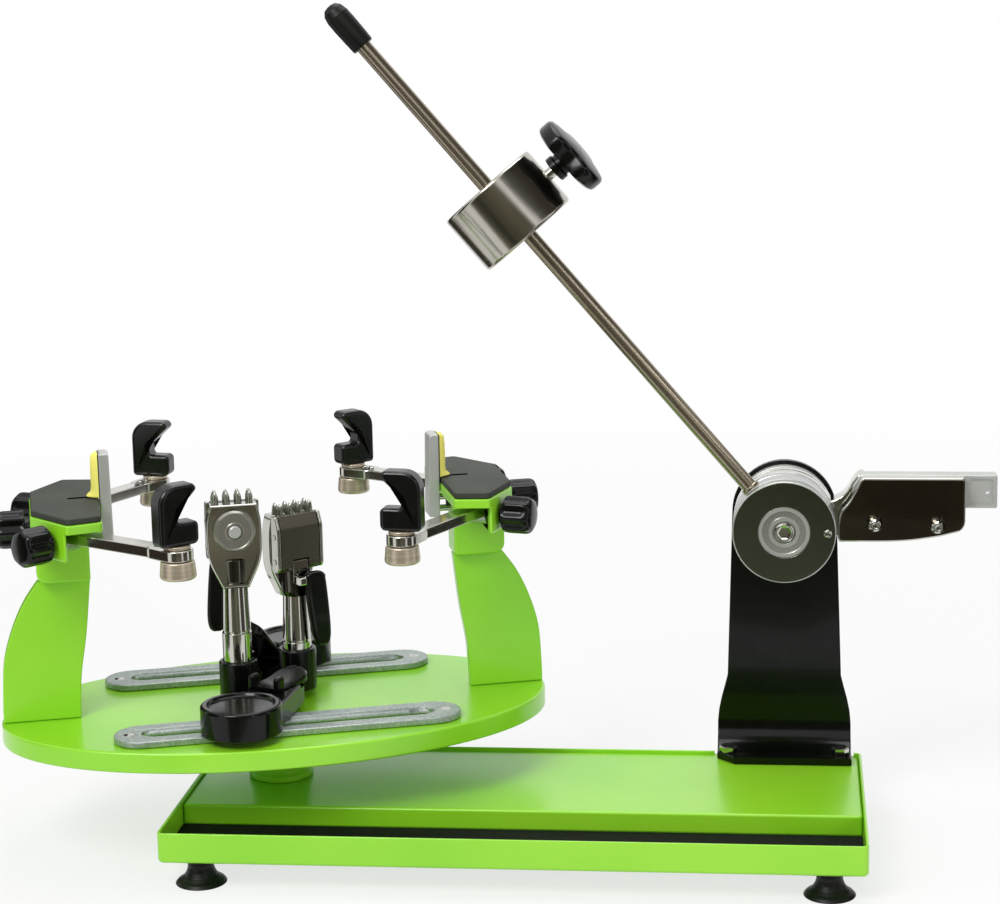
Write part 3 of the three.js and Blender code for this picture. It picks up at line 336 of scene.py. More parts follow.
chrome = make_chrome("bright_chrome", (198, 198, 190), 0.05, 0.06)
tooth_chrome = make_chrome("cast_chrome", (186, 186, 178), 0.16, 0.12)
jaw_steel = make_chrome("brushed_jaw_steel", (190, 192, 190), 0.3, 0.12)
satin_steel = make_chrome("satin_bar_steel", (196, 198, 194), 0.34, 0.1, metallic=0.55)
arm_chrome = make_chrome("satin_arm_chrome", (204, 202, 194), 0.14, 0.08)
# A darker mirror for the gripper's face: a painted reflection of a dark room in the chrome.
painted_reflection_steel = make_chrome("dark_face_painted_reflection", (112, 104, 94), 0.05, 0.04)
cover_steel = make_chrome("satin_cover_steel", (150, 147, 138), 0.26, 0.08, metallic=0.7)
jaw_cover_steel = make_chrome("bronze_grey_jaw_cover", (92, 87, 76), 0.24, 0.08, metallic=0.75)
dark_barrel = make_chrome("dark_barrel_steel", (92, 90, 82), 0.1, 0.04)
rod_steel = make_chrome("ground_rod_steel", (158, 148, 130), 0.2, 0.04, metallic=0.9, pitting=0)
weight_steel = make_chrome("polished_weight_steel", (190, 186, 176), 0.15, 0.04, pitting=0.01)
bearing_steel = make_turned_steel("bearing_steel", (150, 152, 146), (214, 216, 210), 0.24, 700, 0.7)
turned_steel = make_turned_steel("turned_steel", (150, 148, 138), (176, 174, 164), 0.2)
nut_steel = make_turned_steel("tan_turned_nut", (178, 164, 142), (206, 194, 174), 0.32, metallic=0.7)
dark_mirror = make_turned_steel("dark_machined_disc", (112, 120, 108), (134, 142, 128), 0.14, 600)
cast_zinc = make_cast_zinc()
print("metals made:", len(bpy.data.materials))

# %% [markdown]
# ## Soft contact faces
# The racket's frame rests on a grey-green rubber pad with a woven backing
# that shows as a fine grain, and is held against a strip of pale yellow
# foam. Both are dull: their light comes from colour and from small bumps.

# %% Grey pad rubber and yellow foam
def make_pad_rubber():
    rubber = Surface("grey_green_pad_rubber")
    grain = rubber.noise(1400)
    cloud = rubber.ramp(rubber.noise(22), 0.3, 0.7)
    grey = rubber.mix(cloud, shade(36, 40, 33), shade(50, 55, 45))
    rubber.feed("Base Color", rubber.mix(rubber.ramp(grain, 0.6, 0.75) * 0.35, grey, shade(70, 76, 64)))
    rubber.feed("Roughness", 0.55 + grain * 0.2)
    rubber.bump(grain, strength=0.4, distance=0.0002)
    return rubber.material


def make_yellow_foam():
    foam = Surface("yellow_foam", Subsurface_Weight=0.12, Subsurface_Scale=0.004)
    cells = foam.node("ShaderNodeTexVoronoi", {}, Vector=foam.place(), Scale=900.0)
    stain = foam.ramp(foam.noise(70), 0.4, 0.75)
    foam.feed("Base Color", foam.mix(stain * 0.5, shade(244, 236, 118), shade(226, 212, 88)))
    foam.feed("Roughness", 0.62 + cells * 0.2)
    foam.bump(cells, strength=0.35, distance=0.0002)
    return foam.material


pad_rubber = make_pad_rubber()
yellow_foam = make_yellow_foam()
print("made", pad_rubber.name, yellow_foam.name)

# %% [markdown]
# ## Shapes from outlines
# Nearly every piece here was stamped, cast or turned, so a few ways of
# making a mesh cover them all. An outline can be stacked in rings that are
# drawn in near the top and bottom, which rounds its edges the way a tumbled
# or painted part is rounded. A profile can be turned about Z. Rings can be
# joined in a row. Vertices come from numbers, so a rounding is exact and
# costs no modifier.

# %% Outlines: arcs, rounded corners, offsets
def arc(cx, cy, radius, start, end, steps):
    angles = [math.radians(start + (end - start) * i / steps) for i in range(steps + 1)]
    return [(cx + radius * math.cos(a), cy + radius * math.sin(a)) for a in angles]


def circle(cx, cy, radius, steps=24):
    return arc(cx, cy, radius, 0, 360 - 360 / steps, steps - 1)


def bar_outline(x0, y0, r0, x1, y1, r1, steps=14):
    """A bar with round ends, each end with its own radius."""
    way = math.degrees(math.atan2(y1 - y0, x1 - x0))
    spread = 90 - math.degrees(math.asin((r0 - r1) / math.hypot(x1 - x0, y1 - y0)))
    far_end = arc(x1, y1, r1, way - spread, way + spread, steps)
    return far_end + arc(x0, y0, r0, way + spread, way + 360 - spread, steps)


def rounded(points, radius, steps=4, closed=True):
    """The outline with every corner turned into an arc. A list gives each corner its own radius."""
    radii = radius if isinstance(radius, (list, tuple)) else [radius] * len(points)
    softened = []
    for i, point in enumerate(points):
        here = Vector(point)
        at_end = not closed and i in (0, len(points) - 1)
        before = Vector(points[i - 1]) - here
        after = Vector(points[(i + 1) % len(points)]) - here
        if at_end or radii[i] <= 0 or math.degrees(before.angle(after)) > 178:
            softened.append(tuple(here))
            continue
        half_angle = before.angle(after) / 2
        reach = min(radii[i] / math.tan(half_angle), before.length * 0.49, after.length * 0.49)
        bend = reach * math.tan(half_angle)
        inwards = (before.normalized() + after.normalized()).normalized()
        centre = here + inwards * (bend / math.sin(half_angle))
        first = here + before.normalized() * reach - centre
        last = here + after.normalized() * reach - centre
        start = math.atan2(first.y, first.x)
        sweep = (math.atan2(last.y, last.x) - start + math.pi) % (2 * math.pi) - math.pi
        for k in range(steps + 1):
            angle = start + sweep * k / steps
            softened.append((centre.x + bend * math.cos(angle), centre.y + bend * math.sin(angle)))
    return softened


def drawn_in(points, distance):
    """The outline moved into the material, which lies to the left of its way round."""
    moved = []
    for i, point in enumerate(points):
        before, here, after = Vector(points[i - 1]), Vector(point), Vector(points[(i + 1) % len(points)])
        one, two = (here - before).normalized(), (after - here).normalized()
        left_one, left_two = Vector((-one.y, one.x)), Vector((-two.y, two.x))
        mitre = (left_one + left_two) / max(1 + left_one.dot(left_two), 0.5)
        moved.append(tuple(here + mitre * distance))
    return moved


def sharp_box(x0, x1, y0, y1):
    return [(x0, y0), (x1, y0), (x1, y1), (x0, y1)]


def round_box(x0, x1, y0, y1, radius, steps=5):
    return rounded(sharp_box(x0, x1, y0, y1), radius, steps)


def smooth_through(points, steps=8):
    """Points on a smooth curve through the given points."""
    ends = [points[0], *points, points[-1]]
    passed = []
    for i in range(1, len(ends) - 2):
        p0, p1, p2, p3 = (Vector(p) for p in ends[i - 1:i + 3])
        for k in range(steps):
            t = k / steps
            bowed = (2 * p0 - 5 * p1 + 4 * p2 - p3) * t * t + (3 * p1 - p0 - 3 * p2 + p3) * t ** 3
            passed.append(tuple(0.5 * ((2 * p1) + (p2 - p0) * t + bowed)))
    return passed + [tuple(points[-1])]


def with_corners(curve, corners, steps=5):
    """A smooth edge that is closed by corners, each (x, z, radius)."""
    points = curve + [(x, z) for x, z, radius in corners]
    return rounded(points, [0] * len(curve) + [radius for x, z, radius in corners], steps)


print("a bar outline has", len(bar_outline(0, 0, 5, 40, 0, 5)), "points")

# %% Meshes: stacked outlines, turned profiles, joined rings
STANDING = turn(90, "X")
SIDEWAYS = Matrix(((0, 0, 1, 0), (1, 0, 0, 0), (0, 1, 0, 0), (0, 0, 0, 1)))
CREASE = 35
CORE = 0.01  # a turned profile ends this near its axis


def soften(piece, crease=CREASE):
    """Smooth shading that keeps edges above the crease angle, weighted so that flat faces stay flat."""
    mesh = piece.data
    mesh.polygons.foreach_set("use_smooth", [True] * len(mesh.polygons))
    mesh.set_sharp_from_angle(angle=math.radians(crease))
    if "weighted" not in piece.modifiers:
        weighted = piece.modifiers.new("weighted", "WEIGHTED_NORMAL")
        weighted.keep_sharp = True


def new_piece(name, corners, faces, place, crease=CREASE):
    mesh = bpy.data.meshes.new(name)
    mesh.from_pydata([Vector(c) * MM for c in corners], [], faces)
    piece = bpy.data.objects.new(name, mesh)
    scene.collection.objects.link(piece)
    piece.matrix_world = place
    soften(piece, crease)
    return piece


def wall_faces(rows, count, closed_rows=False):
    """Quads between rows of equal rings."""
    quads = []
    pairs = [(r, r + 1) for r in range(rows - 1)] + ([(rows - 1, 0)] if closed_rows else [])
    for low, high in pairs:
        for i in range(count):
            j = (i + 1) % count
            quads.append((low * count + i, low * count + j, high * count + j, high * count + i))
    return quads


def capped_faces(rows, count):
    """Quads between rows of equal rings, with a face over the first ring and one over the last."""
    last = (rows - 1) * count
    return wall_faces(rows, count) + [tuple(reversed(range(count))), tuple(range(last, last + count))]


def edge_levels(z0, z1, edge, steps=3):
    """Pairs of inset and height that round both edges of a stack. A flat ring keeps the broad faces flat."""
    turns = [math.radians(90 * k / steps) for k in range(steps + 1)]
    low = [(edge * (1 - math.sin(a)), z0 + edge * (1 - math.cos(a))) for a in turns]
    if edge >= 0.8:
        low.insert(0, (edge * 1.15, z0))
    high = [(inset, z1 - (z - z0)) for inset, z in reversed(low)]
    return low + high


def stack(name, outline, place, levels, holes=()):
    """An outline, and holes in it, stacked through levels of (inset, height), closed below and above."""
    corners, faces, starts = [], [], []
    for ring in [outline, *holes]:
        start = len(corners)
        starts.append((start, len(ring)))
        for inset, z in levels:
            corners += [(x, y, z) for x, y in (drawn_in(ring, inset) if inset else ring)]
        faces += [tuple(start + v for v in quad) for quad in wall_faces(len(levels), len(ring))]
    for level, up_side in ((0, False), (len(levels) - 1, True)):
        labels = [start + level * count + i for start, count in starts for i in range(count)]
        if len(starts) == 1:
            faces.append(tuple(labels if up_side else reversed(labels)))
            continue
        rings = [[Vector(corners[start + level * count + i]) for i in range(count)]
                 for start, count in starts]
        for triangle in tessellate_polygon(rings):
            a, b, c = (Vector(corners[labels[i]]) for i in triangle)
            upwards = (b - a).cross(c - a).z > 0
            face = tuple(labels[i] for i in triangle)
            faces.append(face if upwards == up_side else face[::-1])
    return new_piece(name, corners, faces, place)


def plate(name, outline, place, z0, z1, edge=0.8, holes=(), steps=3):
    return stack(name, outline, place, edge_levels(z0, z1, edge, steps), holes)


def loft(name, rings, place, crease=CREASE):
    """Equal rings of points joined in a row and closed at both ends."""
    corners = [point for ring in rings for point in ring]
    return new_piece(name, corners, capped_faces(len(rings), len(rings[0])), place, crease)


def lathe(name, profile, place, soft=0, bends=3, steps=64, crease=CREASE, closed=False, wave=None):
    """A profile of (radius, height), listed upwards outside, turned about Z.

    Its corners are rounded by soft, in so many bends. wave(angle, z) scales the radius.
    """
    if soft:
        profile = rounded(profile, soft, bends, closed)
    corners = []
    for radius, z in profile:
        for i in range(steps):
            angle = 2 * math.pi * i / steps
            reach = radius * (wave(angle, z) if wave else 1)
            corners.append((reach * math.cos(angle), reach * math.sin(angle), z))
    faces = wall_faces(len(profile), steps, True) if closed else capped_faces(len(profile), steps)
    return new_piece(name, corners, faces, place, crease)


def round_bar(name, radius, low, high, place, soft=0.4, steps=20):
    """A plain pin between two heights, with its edges broken."""
    return lathe(name, [(CORE, low), (radius, low), (radius, high), (CORE, high)], place, soft, 2, steps)


def cut(piece, *tools):
    """Cuts the tools out of the piece and throws them away."""
    for tool in tools:
        boolean = piece.modifiers.new("cut", "BOOLEAN")
        boolean.operation = "DIFFERENCE"
        boolean.solver = "EXACT"
        boolean.object = tool
    piece.modifiers.remove(piece.modifiers["weighted"])
    bpy.context.view_layer.update()
    evaluated = piece.evaluated_get(bpy.context.evaluated_depsgraph_get())
    piece.data = bpy.data.meshes.new_from_object(evaluated)
    piece.modifiers.clear()
    for tool in tools:
        bpy.data.objects.remove(tool)
    soften(piece)


def join_pieces(first, *others, name=None):
    """One piece out of several that share their finish."""
    bpy.context.view_layer.update()
    corners, faces = [], []
    back = first.matrix_world.inverted()
    for piece in (first, *others):
        start = len(corners)
        shift = back @ piece.matrix_world
        corners += [shift @ v.co for v in piece.data.vertices]
        faces += [tuple(start + v for v in face.vertices) for face in piece.data.polygons]
    mesh = bpy.data.meshes.new(first.name)
    mesh.from_pydata(corners, [], faces)
    for piece in others:
        bpy.data.objects.remove(piece)
    first.data = mesh
    first.name = name or first.name
    soften(first)
    return first


def finish(piece, material, body, slot, *nodes):
    """Gives a piece its finish and its body, and lets it stand for the solids it dresses.

    Its corners settle in the machine's own frame, unless a turned finish needs the piece's axis.
    """
    piece.data.materials.clear()
    piece.data.materials.append(material)
    if material not in (turned_steel, bearing_steel, dark_mirror):
        piece.data.transform(piece.matrix_world)
        piece.matrix_world = Matrix.Identity(4)
    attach(piece, body)
    if nodes:
        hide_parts(*nodes)


print("mesh tools ready")

# %% [markdown]
# ## Floor, lamps and sky
# The floor is a plain pale sheet that fades into a white background with
# distance, and keeps the soft shadow of the feet. Chrome is only as
# interesting as what it mirrors, so a few dark cards stand outside the
# picture and are seen by reflections alone, as in a product studio.

# %% Floor and background
FLOOR_REACH, FADE_START, FADE_END = 6.0, 0.45, 1.6
NEAR_WHITENESS, AMBIENT = 0.72, 0.5
WHITE = (1, 1, 1, 1)


def stand_in(name, corners, faces, material):
    """A sheet of the studio, which is not part of the machine."""
    data = bpy.data.meshes.new(name)
    data.from_pydata(corners, [], faces)
    sheet = bpy.data.objects.new(name, data)
    scene.collection.objects.link(sheet)
    sheet.data.materials.append(material)
    return sheet


def make_floor_material():
    floor = Surface("pale_floor", Roughness=0.9, Base_Color=(0.8, 0.8, 0.8, 1))
    away = floor.node("ShaderNodeVectorMath", {"operation": "LENGTH"}, floor.place(), output="Value")
    fade = floor.ramp(away, FADE_START, FADE_END)
    share = floor.background_rays() * (NEAR_WHITENESS + fade * (1 - NEAR_WHITENESS))
    white = floor.node("ShaderNodeEmission", {}, Color=WHITE)
    floor.blend_shaders(share, Wire(floor, floor.shader.outputs[0]), white, "Material Output")
    return floor.material


stand_in("floor", [(x, y, 0) for x, y in sharp_box(-FLOOR_REACH, FLOOR_REACH, -FLOOR_REACH, FLOOR_REACH)],
         [(0, 1, 2, 3)], make_floor_material())

scene.world = bpy.data.worlds.new("studio")
scene.world.use_nodes = True
sky = Nodes(scene.world.node_tree)
ambient = sky.tree.nodes["Background"]
ambient.inputs["Color"].default_value = (1.0, 1.0, 0.98, 1)
ambient.inputs["Strength"].default_value = AMBIENT
backdrop = sky.node("ShaderNodeBackground", {}, Color=WHITE, Strength=1.0)
sky.blend_shaders(sky.background_rays(), Wire(sky, ambient.outputs[0]), backdrop, "World Output")
scene.view_settings.view_transform = "Standard"
print("floor spans", 2 * FLOOR_REACH, "m")

# %% Lamps and dark cards
LAMPS = {  # place, size and watts
    "key": ((-0.9, -1.7, 2.0), 1.1, 40),
    "fill": ((1.9, -1.3, 1.0), 1.2, 12),
    "top": ((0.1, 0.5, 2.2), 1.4, 17),
}
LAMP_TARGET = Vector((0, 0, 0.2))
CARD_NEAR, CARD_FAR, LEFT_CARD_NEAR = (0.42, 0.003), (0.95, 0.006), (0.64, 0.003)
CARD_TOP = (CARD_FAR[0] * 1.15, 0.8)
CARDS = {"front": (-36, 30), "right": (40, 80), "back_right": (96, 132), "back_left": (214, 246),
         "left": (270, 304)}
HOOD, HOOD_ROWS = (32, 128), ((1.3, 1.05), (1.1, 1.6), (0.8, 2.0))


def add_lamp(name, place, size, watts):
    data = bpy.data.lights.new(name, "AREA")
    data.size = size
    data.energy = watts
    lamp = bpy.data.objects.new(name, data)
    scene.collection.objects.link(lamp)
    aim = LAMP_TARGET - Vector(place)
    lamp.matrix_world = Matrix.Translation(place) @ aim.to_track_quat("-Z", "Y").to_matrix().to_4x4()


def make_card_paper(name, low, high):
    paper = Surface(name, Roughness=1.0)
    cloud = paper.ramp(paper.noise(2.2, 2), 0.3, 0.7)
    paper.feed("Base Color", paper.mix(cloud, shade(*low), shade(*high)))
    return paper.material


def add_card(name, first, last, rows, paper, steps=8):
    """A curved card between two bearings, in degrees to the right of the front.

    Rows give reach and height.
    """
    corners, faces = [], []
    for k in range(steps + 1):
        bearing = math.radians(first + (last - first) * k / steps)
        corners += [(out * math.sin(bearing), -out * math.cos(bearing), z) for out, z in rows]
    for k in range(steps):
        for row in (0, 1):
            faces.append((3 * k + row, 3 * k + 3 + row, 3 * k + 4 + row, 3 * k + 1 + row))
    card = stand_in(name, corners, faces, paper)
    card.visible_camera = card.visible_diffuse = card.visible_shadow = False


dark_paper = make_card_paper("dark_card_paper", (22, 17, 12), (58, 50, 38))
tan_paper = make_card_paper("tan_card_paper", (50, 50, 40), (118, 112, 92))
for card_name, bearings in CARDS.items():
    near = LEFT_CARD_NEAR if card_name == "left" else CARD_NEAR
    paper = tan_paper if card_name == "front" else dark_paper
    add_card("card_" + card_name, *bearings, (near, CARD_FAR, CARD_TOP), paper)
add_card("card_hood", *HOOD, HOOD_ROWS, dark_paper)
for lamp_name, settings in LAMPS.items():
    add_lamp(lamp_name, *settings)
print("lamps:", list(LAMPS), "cards:", len(CARDS) + 1)

# %% [markdown]
# ## Tray, platform and trough
# The base is folded sheet: a shallow tray, and a second folded box standing
# in it that carries the load. Folded sheet has no sharp corner anywhere, so
# each outline is stacked with the radius of its fold. The strip of tray
# floor that shows in front of the platform is covered by a thin black sheet.

# %% Tray
TRAY_LENGTH, TRAY_DEPTH, TRAY_BOTTOM, TRAY_RIM, TRAY_FLOOR = 460, 186, 18.5, 39.1, 22.5
WALL, FOLD = 2, 2.6
RIM_ROUNDING = ((0, 0.7), (0.2, 0.2), (0.7, 0), (1.3, 0), (1.8, 0.2), (WALL, 0.7))  # inset, drop
INNER_FOLD = ((WALL, 1), (WALL + 0.3, 0.3), (WALL + 1, 0))  # inset, rise
NOTCH, NOTCH_HEIGHTS = (356.8, 454.8, 180, 190), (36.6, 45)
bends = [math.radians(90 * k / 4) for k in range(5)]
tray_levels = [(FOLD * (1 - math.sin(a)), TRAY_BOTTOM + FOLD * (1 - math.cos(a))) for a in bends]
tray_levels += [(inset, TRAY_RIM - drop) for inset, drop in RIM_ROUNDING]
tray_levels += [(inset, TRAY_FLOOR + lift) for inset, lift in INNER_FOLD]
tray = stack("tray", round_box(0, TRAY_LENGTH, 0, TRAY_DEPTH, 4.2), BASE, tray_levels)
cut(tray, plate("notch", sharp_box(*NOTCH), BASE, *NOTCH_HEIGHTS, 0))
finish(tray, lime_paint, "base", "lime_paint", "base_tray")
print("tray:", len(tray.data.vertices), "corners")

# %% Platform and black trough strip
COVER_BOX, COVER_HEIGHTS = (2.3, 457.7, 61.7, 183.7), (22.8, 36.9)
TROUGH_SHEET_BOX, TROUGH_SHEET_HEIGHTS = (2.4, 457.6, 2.4, 61.3), (22.6, 23.6)
platform = plate("platform", round_box(*COVER_BOX, 2.4), BASE, *COVER_HEIGHTS, edge=1.8, steps=4)
finish(platform, lime_paint, "base", "lime_paint", "platform_cover")
# A thin black sheet on the trough floor makes that strip of the tray black.
foam = plate("trough_black_sheet", round_box(*TROUGH_SHEET_BOX, 1), BASE, *TROUGH_SHEET_HEIGHTS, edge=0.3)
finish(foam, trough_sheet_black, "base", "black_rubber")
print("platform and black trough strip laid")

# %% [markdown]
# ## Suction feet
# Each foot is a moulded rubber cup: a thin skirt that can press flat on a
# table, a domed shoulder and a short neck under the tray. It is a body of
# revolution, so one turned profile makes it, hollow from below.

# %% Feet
SUCTION_CUP = [(CORE, 3.0), (6, 2.6), (12, 1.2), (16.7, 0.01), (16.9, 0.5), (15.4, 2.2), (13.2, 3.6),
               (10.9, 5.6), (9.4, 8.4), (8.6, 11), (8.6, 14.2), (9.6, 14.8), (9.6, 17.2), (8.8, 18.2),
               (CORE, 18.2)]
FOOT_INSET_X, FOOT_INSET_Y = 24.6, 17.6
for depth_name, foot_y in (("front", FOOT_INSET_Y), ("rear", TRAY_DEPTH - FOOT_INSET_Y)):
    for side_name, foot_x in (("left", FOOT_INSET_X), ("right", TRAY_LENGTH - FOOT_INSET_X)):
        name = f"foot_{depth_name}_{side_name}"
        foot = lathe(name, SUCTION_CUP, BASE @ move(foot_x, foot_y), soft=1.2, steps=48, crease=50)
        finish(foot, foot_black, "base", "black_rubber", "suction_" + name)
print("feet stand", FOOT_INSET_X, "mm in from the tray's ends")

# %% [markdown]
# ## Turntable
# A thick oval plate turns on a hub. Its rim is turned with a small rounding
# above and below, which catches a thin light line all the way round. An
# ellipse is a circle stretched in X, and the stack draws it in to round it.

# %% Hub and oval plate
PLATE_TOP, PLATE_THICK, OVAL_LENGTH, OVAL_WIDTH = 90.4, 14, 375.6, 220
HUB_X, HUB_Y, SPINDLE_ROOM, SPINDLE_HEIGHTS = 56.3, 128, 8.3, (70, 85.7)
HUB = [(CORE, 37.2), (22.2, 37.2), (22.2, 41), (19.8, 42.5), (19.8, 71), (22.2, 72.4), (22.2, 76.1),
       (8, 76.1), (8, 85.4), (CORE, 85.4)]
hub = lathe("turntable_hub_turned", HUB, BASE @ move(HUB_X, HUB_Y), soft=0.9, steps=72)
finish(hub, lime_paint, "base", "lime_paint", "turntable_hub")

oval = [(x * OVAL_LENGTH / OVAL_WIDTH, y) for x, y in circle(0, 0, OVAL_WIDTH / 2, 160)]
oval_plate = plate("turntable_oval", oval, TABLE, PLATE_TOP - PLATE_THICK, PLATE_TOP, edge=1.7, steps=4)
cut(oval_plate, plate("spindle_room", circle(0, 0, SPINDLE_ROOM, 40), TABLE, *SPINDLE_HEIGHTS, 0))
finish(oval_plate, lime_paint, "turntable", "lime_paint", "turntable_plate")
print("oval plate:", len(oval_plate.data.vertices), "corners")

# %% [markdown]
# ## Clamp rails
# The two rails are zinc castings with a long slot. The casting has a flat
# rim, a shallow inner step beside the slot, a wider pocket where a clamp's
# stud is dropped in, and a small screw at each end. The step and pocket are
# cut as real recesses, because light runs along their edges in the photo.

# %% Rails
RAIL_LOW, RAIL_HIGH, RAIL_Y, RAIL_END, RAIL_HALF = PLATE_TOP + 0.3, PLATE_TOP + 4.8, 66, 97, 19
SLOT_END, SLOT_HALF, STEP_END, STEP_HALF, POCKET_X, SCREW_X = 92, 6, 88, 8.6, 88, 106
RAIL_HEIGHTS, STEP_HEIGHTS = (RAIL_LOW, RAIL_HIGH), (RAIL_HIGH - 1.1, RAIL_HIGH + 2)
POCKET_HEIGHTS, SINK_HIGH = (RAIL_LOW + 1, RAIL_HIGH + 2), RAIL_HIGH - 1.2
RAIL_SCREW = [(CORE, 0), (2.1, 0), (2.1, 2.6), (3.6, 4.1), (3.6, 4.4), (CORE, 4.9)]
SCREW_SINK = [(CORE, -3), (2.2, -3), (2.2, 0.4), (4.4, 1.6), (4.4, 4), (CORE, 4)]


def level_bar(end, y, radius, steps=14):
    return bar_outline(-end, y, radius, end, y, radius, steps)


for name, rail_y in (("front", -RAIL_Y), ("rear", RAIL_Y)):
    slot = list(reversed(level_bar(SLOT_END, rail_y, SLOT_HALF, 10)))
    rail = plate(name + "_slotted_rail", level_bar(RAIL_END, rail_y, RAIL_HALF, 20),
                 TABLE, *RAIL_HEIGHTS, 0.9, [slot])
    step = plate("step", level_bar(STEP_END, rail_y, STEP_HALF), TABLE, *STEP_HEIGHTS, 0)
    pocket = plate("pocket", circle(POCKET_X, rail_y, STEP_HALF, 36), TABLE, *POCKET_HEIGHTS, 0)
    sink_places = [TABLE @ move(end * SCREW_X, rail_y, SINK_HIGH) for end in (-1, 1)]
    cut(rail, step, pocket, *[lathe("sink", SCREW_SINK, place, steps=24) for place in sink_places])
    finish(rail, cast_zinc, "turntable", "zinc_casting", name + "_rail")
    for end_name, end in (("left", -1), ("right", 1)):
        place = TABLE @ move(end * SCREW_X, rail_y, RAIL_LOW)
        screw = lathe(f"{name}_rail_screw_{end_name}", RAIL_SCREW, place, soft=0.3, bends=2, steps=24)
        finish(screw, chrome, "turntable", "zinc_casting")
print("rails reach", RAIL_HIGH, "mm")

# %% [markdown]
# ## Curved posts
# Two plates stand on the oval and lean out to the racket mounts. Each was
# cut from thick plate: a straight inner edge with a slight knee, and an
# outer edge that swings out to the foot. A smooth curve through the few
# points that were measured gives the swing, and the plate keeps its
# thickness with small rounded edges.

# %% Posts
POST_LOW, POST_HIGH, POST_TOP_OUT, POST_FOOT_OUT, POST_HALF = 90.7, 187, 159.5, 186.5, 5
SWING_SHARES = ((0.993, 0.86), (0.92, 0.575), (0.69, 0.345), (0.37, 0.15))
POST_INNER = [(124.5, POST_HIGH), (128.6, 150), (133.4, 120), (135, POST_LOW)]
MOUNTS = {"right": TABLE, "left": TABLE @ turn(180, "Z")}
swing = [(POST_TOP_OUT + 27 * out, POST_HIGH - (POST_HIGH - POST_LOW) * down) for out, down in SWING_SHARES]
outer_edge = smooth_through([(POST_FOOT_OUT, POST_LOW), *swing, (POST_TOP_OUT, POST_HIGH)])
for name, mount in MOUNTS.items():
    post = plate(name + "_curved_post", outer_edge + smooth_through(POST_INNER), mount @ STANDING,
                 -POST_HALF, POST_HALF, 0.9)
    finish(post, lime_paint, "turntable", "lime_paint", name + "_post")
print("posts have", len(outer_edge), "points on the outer edge")

# %% [markdown]
# ## Racket mounts
# Both mounts are the same casting set turned by half a turn, so all of it is
# written once, in a frame whose X points away from the turntable's middle.
# The casting is a six-sided flange with a skirt under its outer edges and a
# thick neck that stands on the post. Flange and skirt share one outline, so
# their walls run flush into each other.

# %% Castings and rubber pads
INNER, MIDDLE, OUTER, SLANT_Y = 116, 139, 162, 30
FLANGE_LOW, FLANGE_HIGH, SKIRT_LOW, DRIVE, CAST_EDGE = 232, 238, 213, 223.5, 1.3
NECK_HALF, PAD_HEIGHTS = 12.5, (238.3, 242.3)
FLANGE = [(INNER, -60), (MIDDLE, -66), (OUTER, -SLANT_Y), (OUTER, SLANT_Y), (MIDDLE, 66), (INNER, 60)]
SKIRT = [(139.6, -65.1), (OUTER, -SLANT_Y), (OUTER, SLANT_Y), (139.6, 65.1), (139.6, 55.8), (157, 28.5),
         (157, -28.5), (139.6, -55.8)]
NECK = sharp_box(124.3, 159.7, 187.3, 233)
PAD = [(INNER + 0.6, -59.2), (MIDDLE, -65.2), (OUTER - 0.7, -SLANT_Y), (OUTER - 0.7, SLANT_Y),
       (MIDDLE, 65.2), (INNER + 0.6, 59.2), (INNER + 0.6, 1.3), (136, 1.3), (136, -1.3),
       (INNER + 0.6, -1.3)]
flange_levels = [(0, FLANGE_LOW)] + edge_levels(FLANGE_LOW, FLANGE_HIGH, CAST_EDGE, 4)[6:]
skirt_levels = edge_levels(SKIRT_LOW, FLANGE_LOW, CAST_EDGE, 4)[:6] + [(0, FLANGE_LOW)]
for name, mount in MOUNTS.items():
    casting = join_pieces(
        stack(name + "_mount_casting", rounded(FLANGE, 3), mount, flange_levels),
        stack("skirt", rounded(SKIRT, [1.5, 3, 3, 1.5, 1.5, 2, 2, 1.5]), mount, skirt_levels),
        plate("neck", rounded(NECK, [2, 7, 0, 0], 5), mount @ STANDING, -NECK_HALF, NECK_HALF, 1.5))
    finish(casting, lime_paint, "turntable", "lime_paint", name + "_head_plate")
    rubber_pad = plate(name + "_slit_rubber_pad", rounded(PAD, [3, 4, 4, 4, 4, 3, 0.6, 1.2, 1.2, 0.6]),
                       mount, *PAD_HEIGHTS, 0.9)
    finish(rubber_pad, pad_rubber, "turntable", "grey_rubber", name + "_rubber_pad")
print("castings reach", FLANGE_HIGH, "mm")

# %% [markdown]
# ## Inner supports
# A steel bar stands on the inner side of each mount and pushes the racket's
# head outwards. It tapers towards its rounded top, carries a strip of yellow
# foam on a thin black tape, and slides on two short rods. The foam strip is
# crowned, and its foot flares where it meets the rubber pad.

# %% Bars, tape, foam strips and rods
BAR, BAR_HALF = [(107.5, 215), (115.4, 215), (115.4, 273), (108.6, 273)], 9
TAPE, TAPE_HALF = sharp_box(115.35, 116.0, 243.4, 272.4), 8.4
ROD_RADIUS, ROD_ENDS, ROD_HEIGHTS = 2.4, (113, 139.5), (227.6, 219.4)
FOAM_FRONT = 115.95
FOAM_LEVELS = [  # height, half the width, crown
    (243.0, 8.0, 123.2), (243.7, 8.4, 124.0), (244.8, 8.5, 123.0), (246.4, 8.5, 121.2), (250, 8.4, 120.8),
    (258, 8.4, 120.9), (266, 8.3, 120.7), (270.4, 8.0, 120.3), (272.0, 7.4, 119.2), (272.6, 6.6, 117.8)]


def foam_ring(z, half_width, crown):
    """One level of the foam strip: flat on the tape, crowned on the racket's side."""
    ways = [k / 8 - 1 for k in range(17)]
    bow = [(FOAM_FRONT + (crown - FOAM_FRONT) * (1 - abs(t) ** 3), t * half_width, z) for t in ways]
    return [(FOAM_FRONT, -half_width, z)] + bow[1:-1] + [(FOAM_FRONT, half_width, z)]


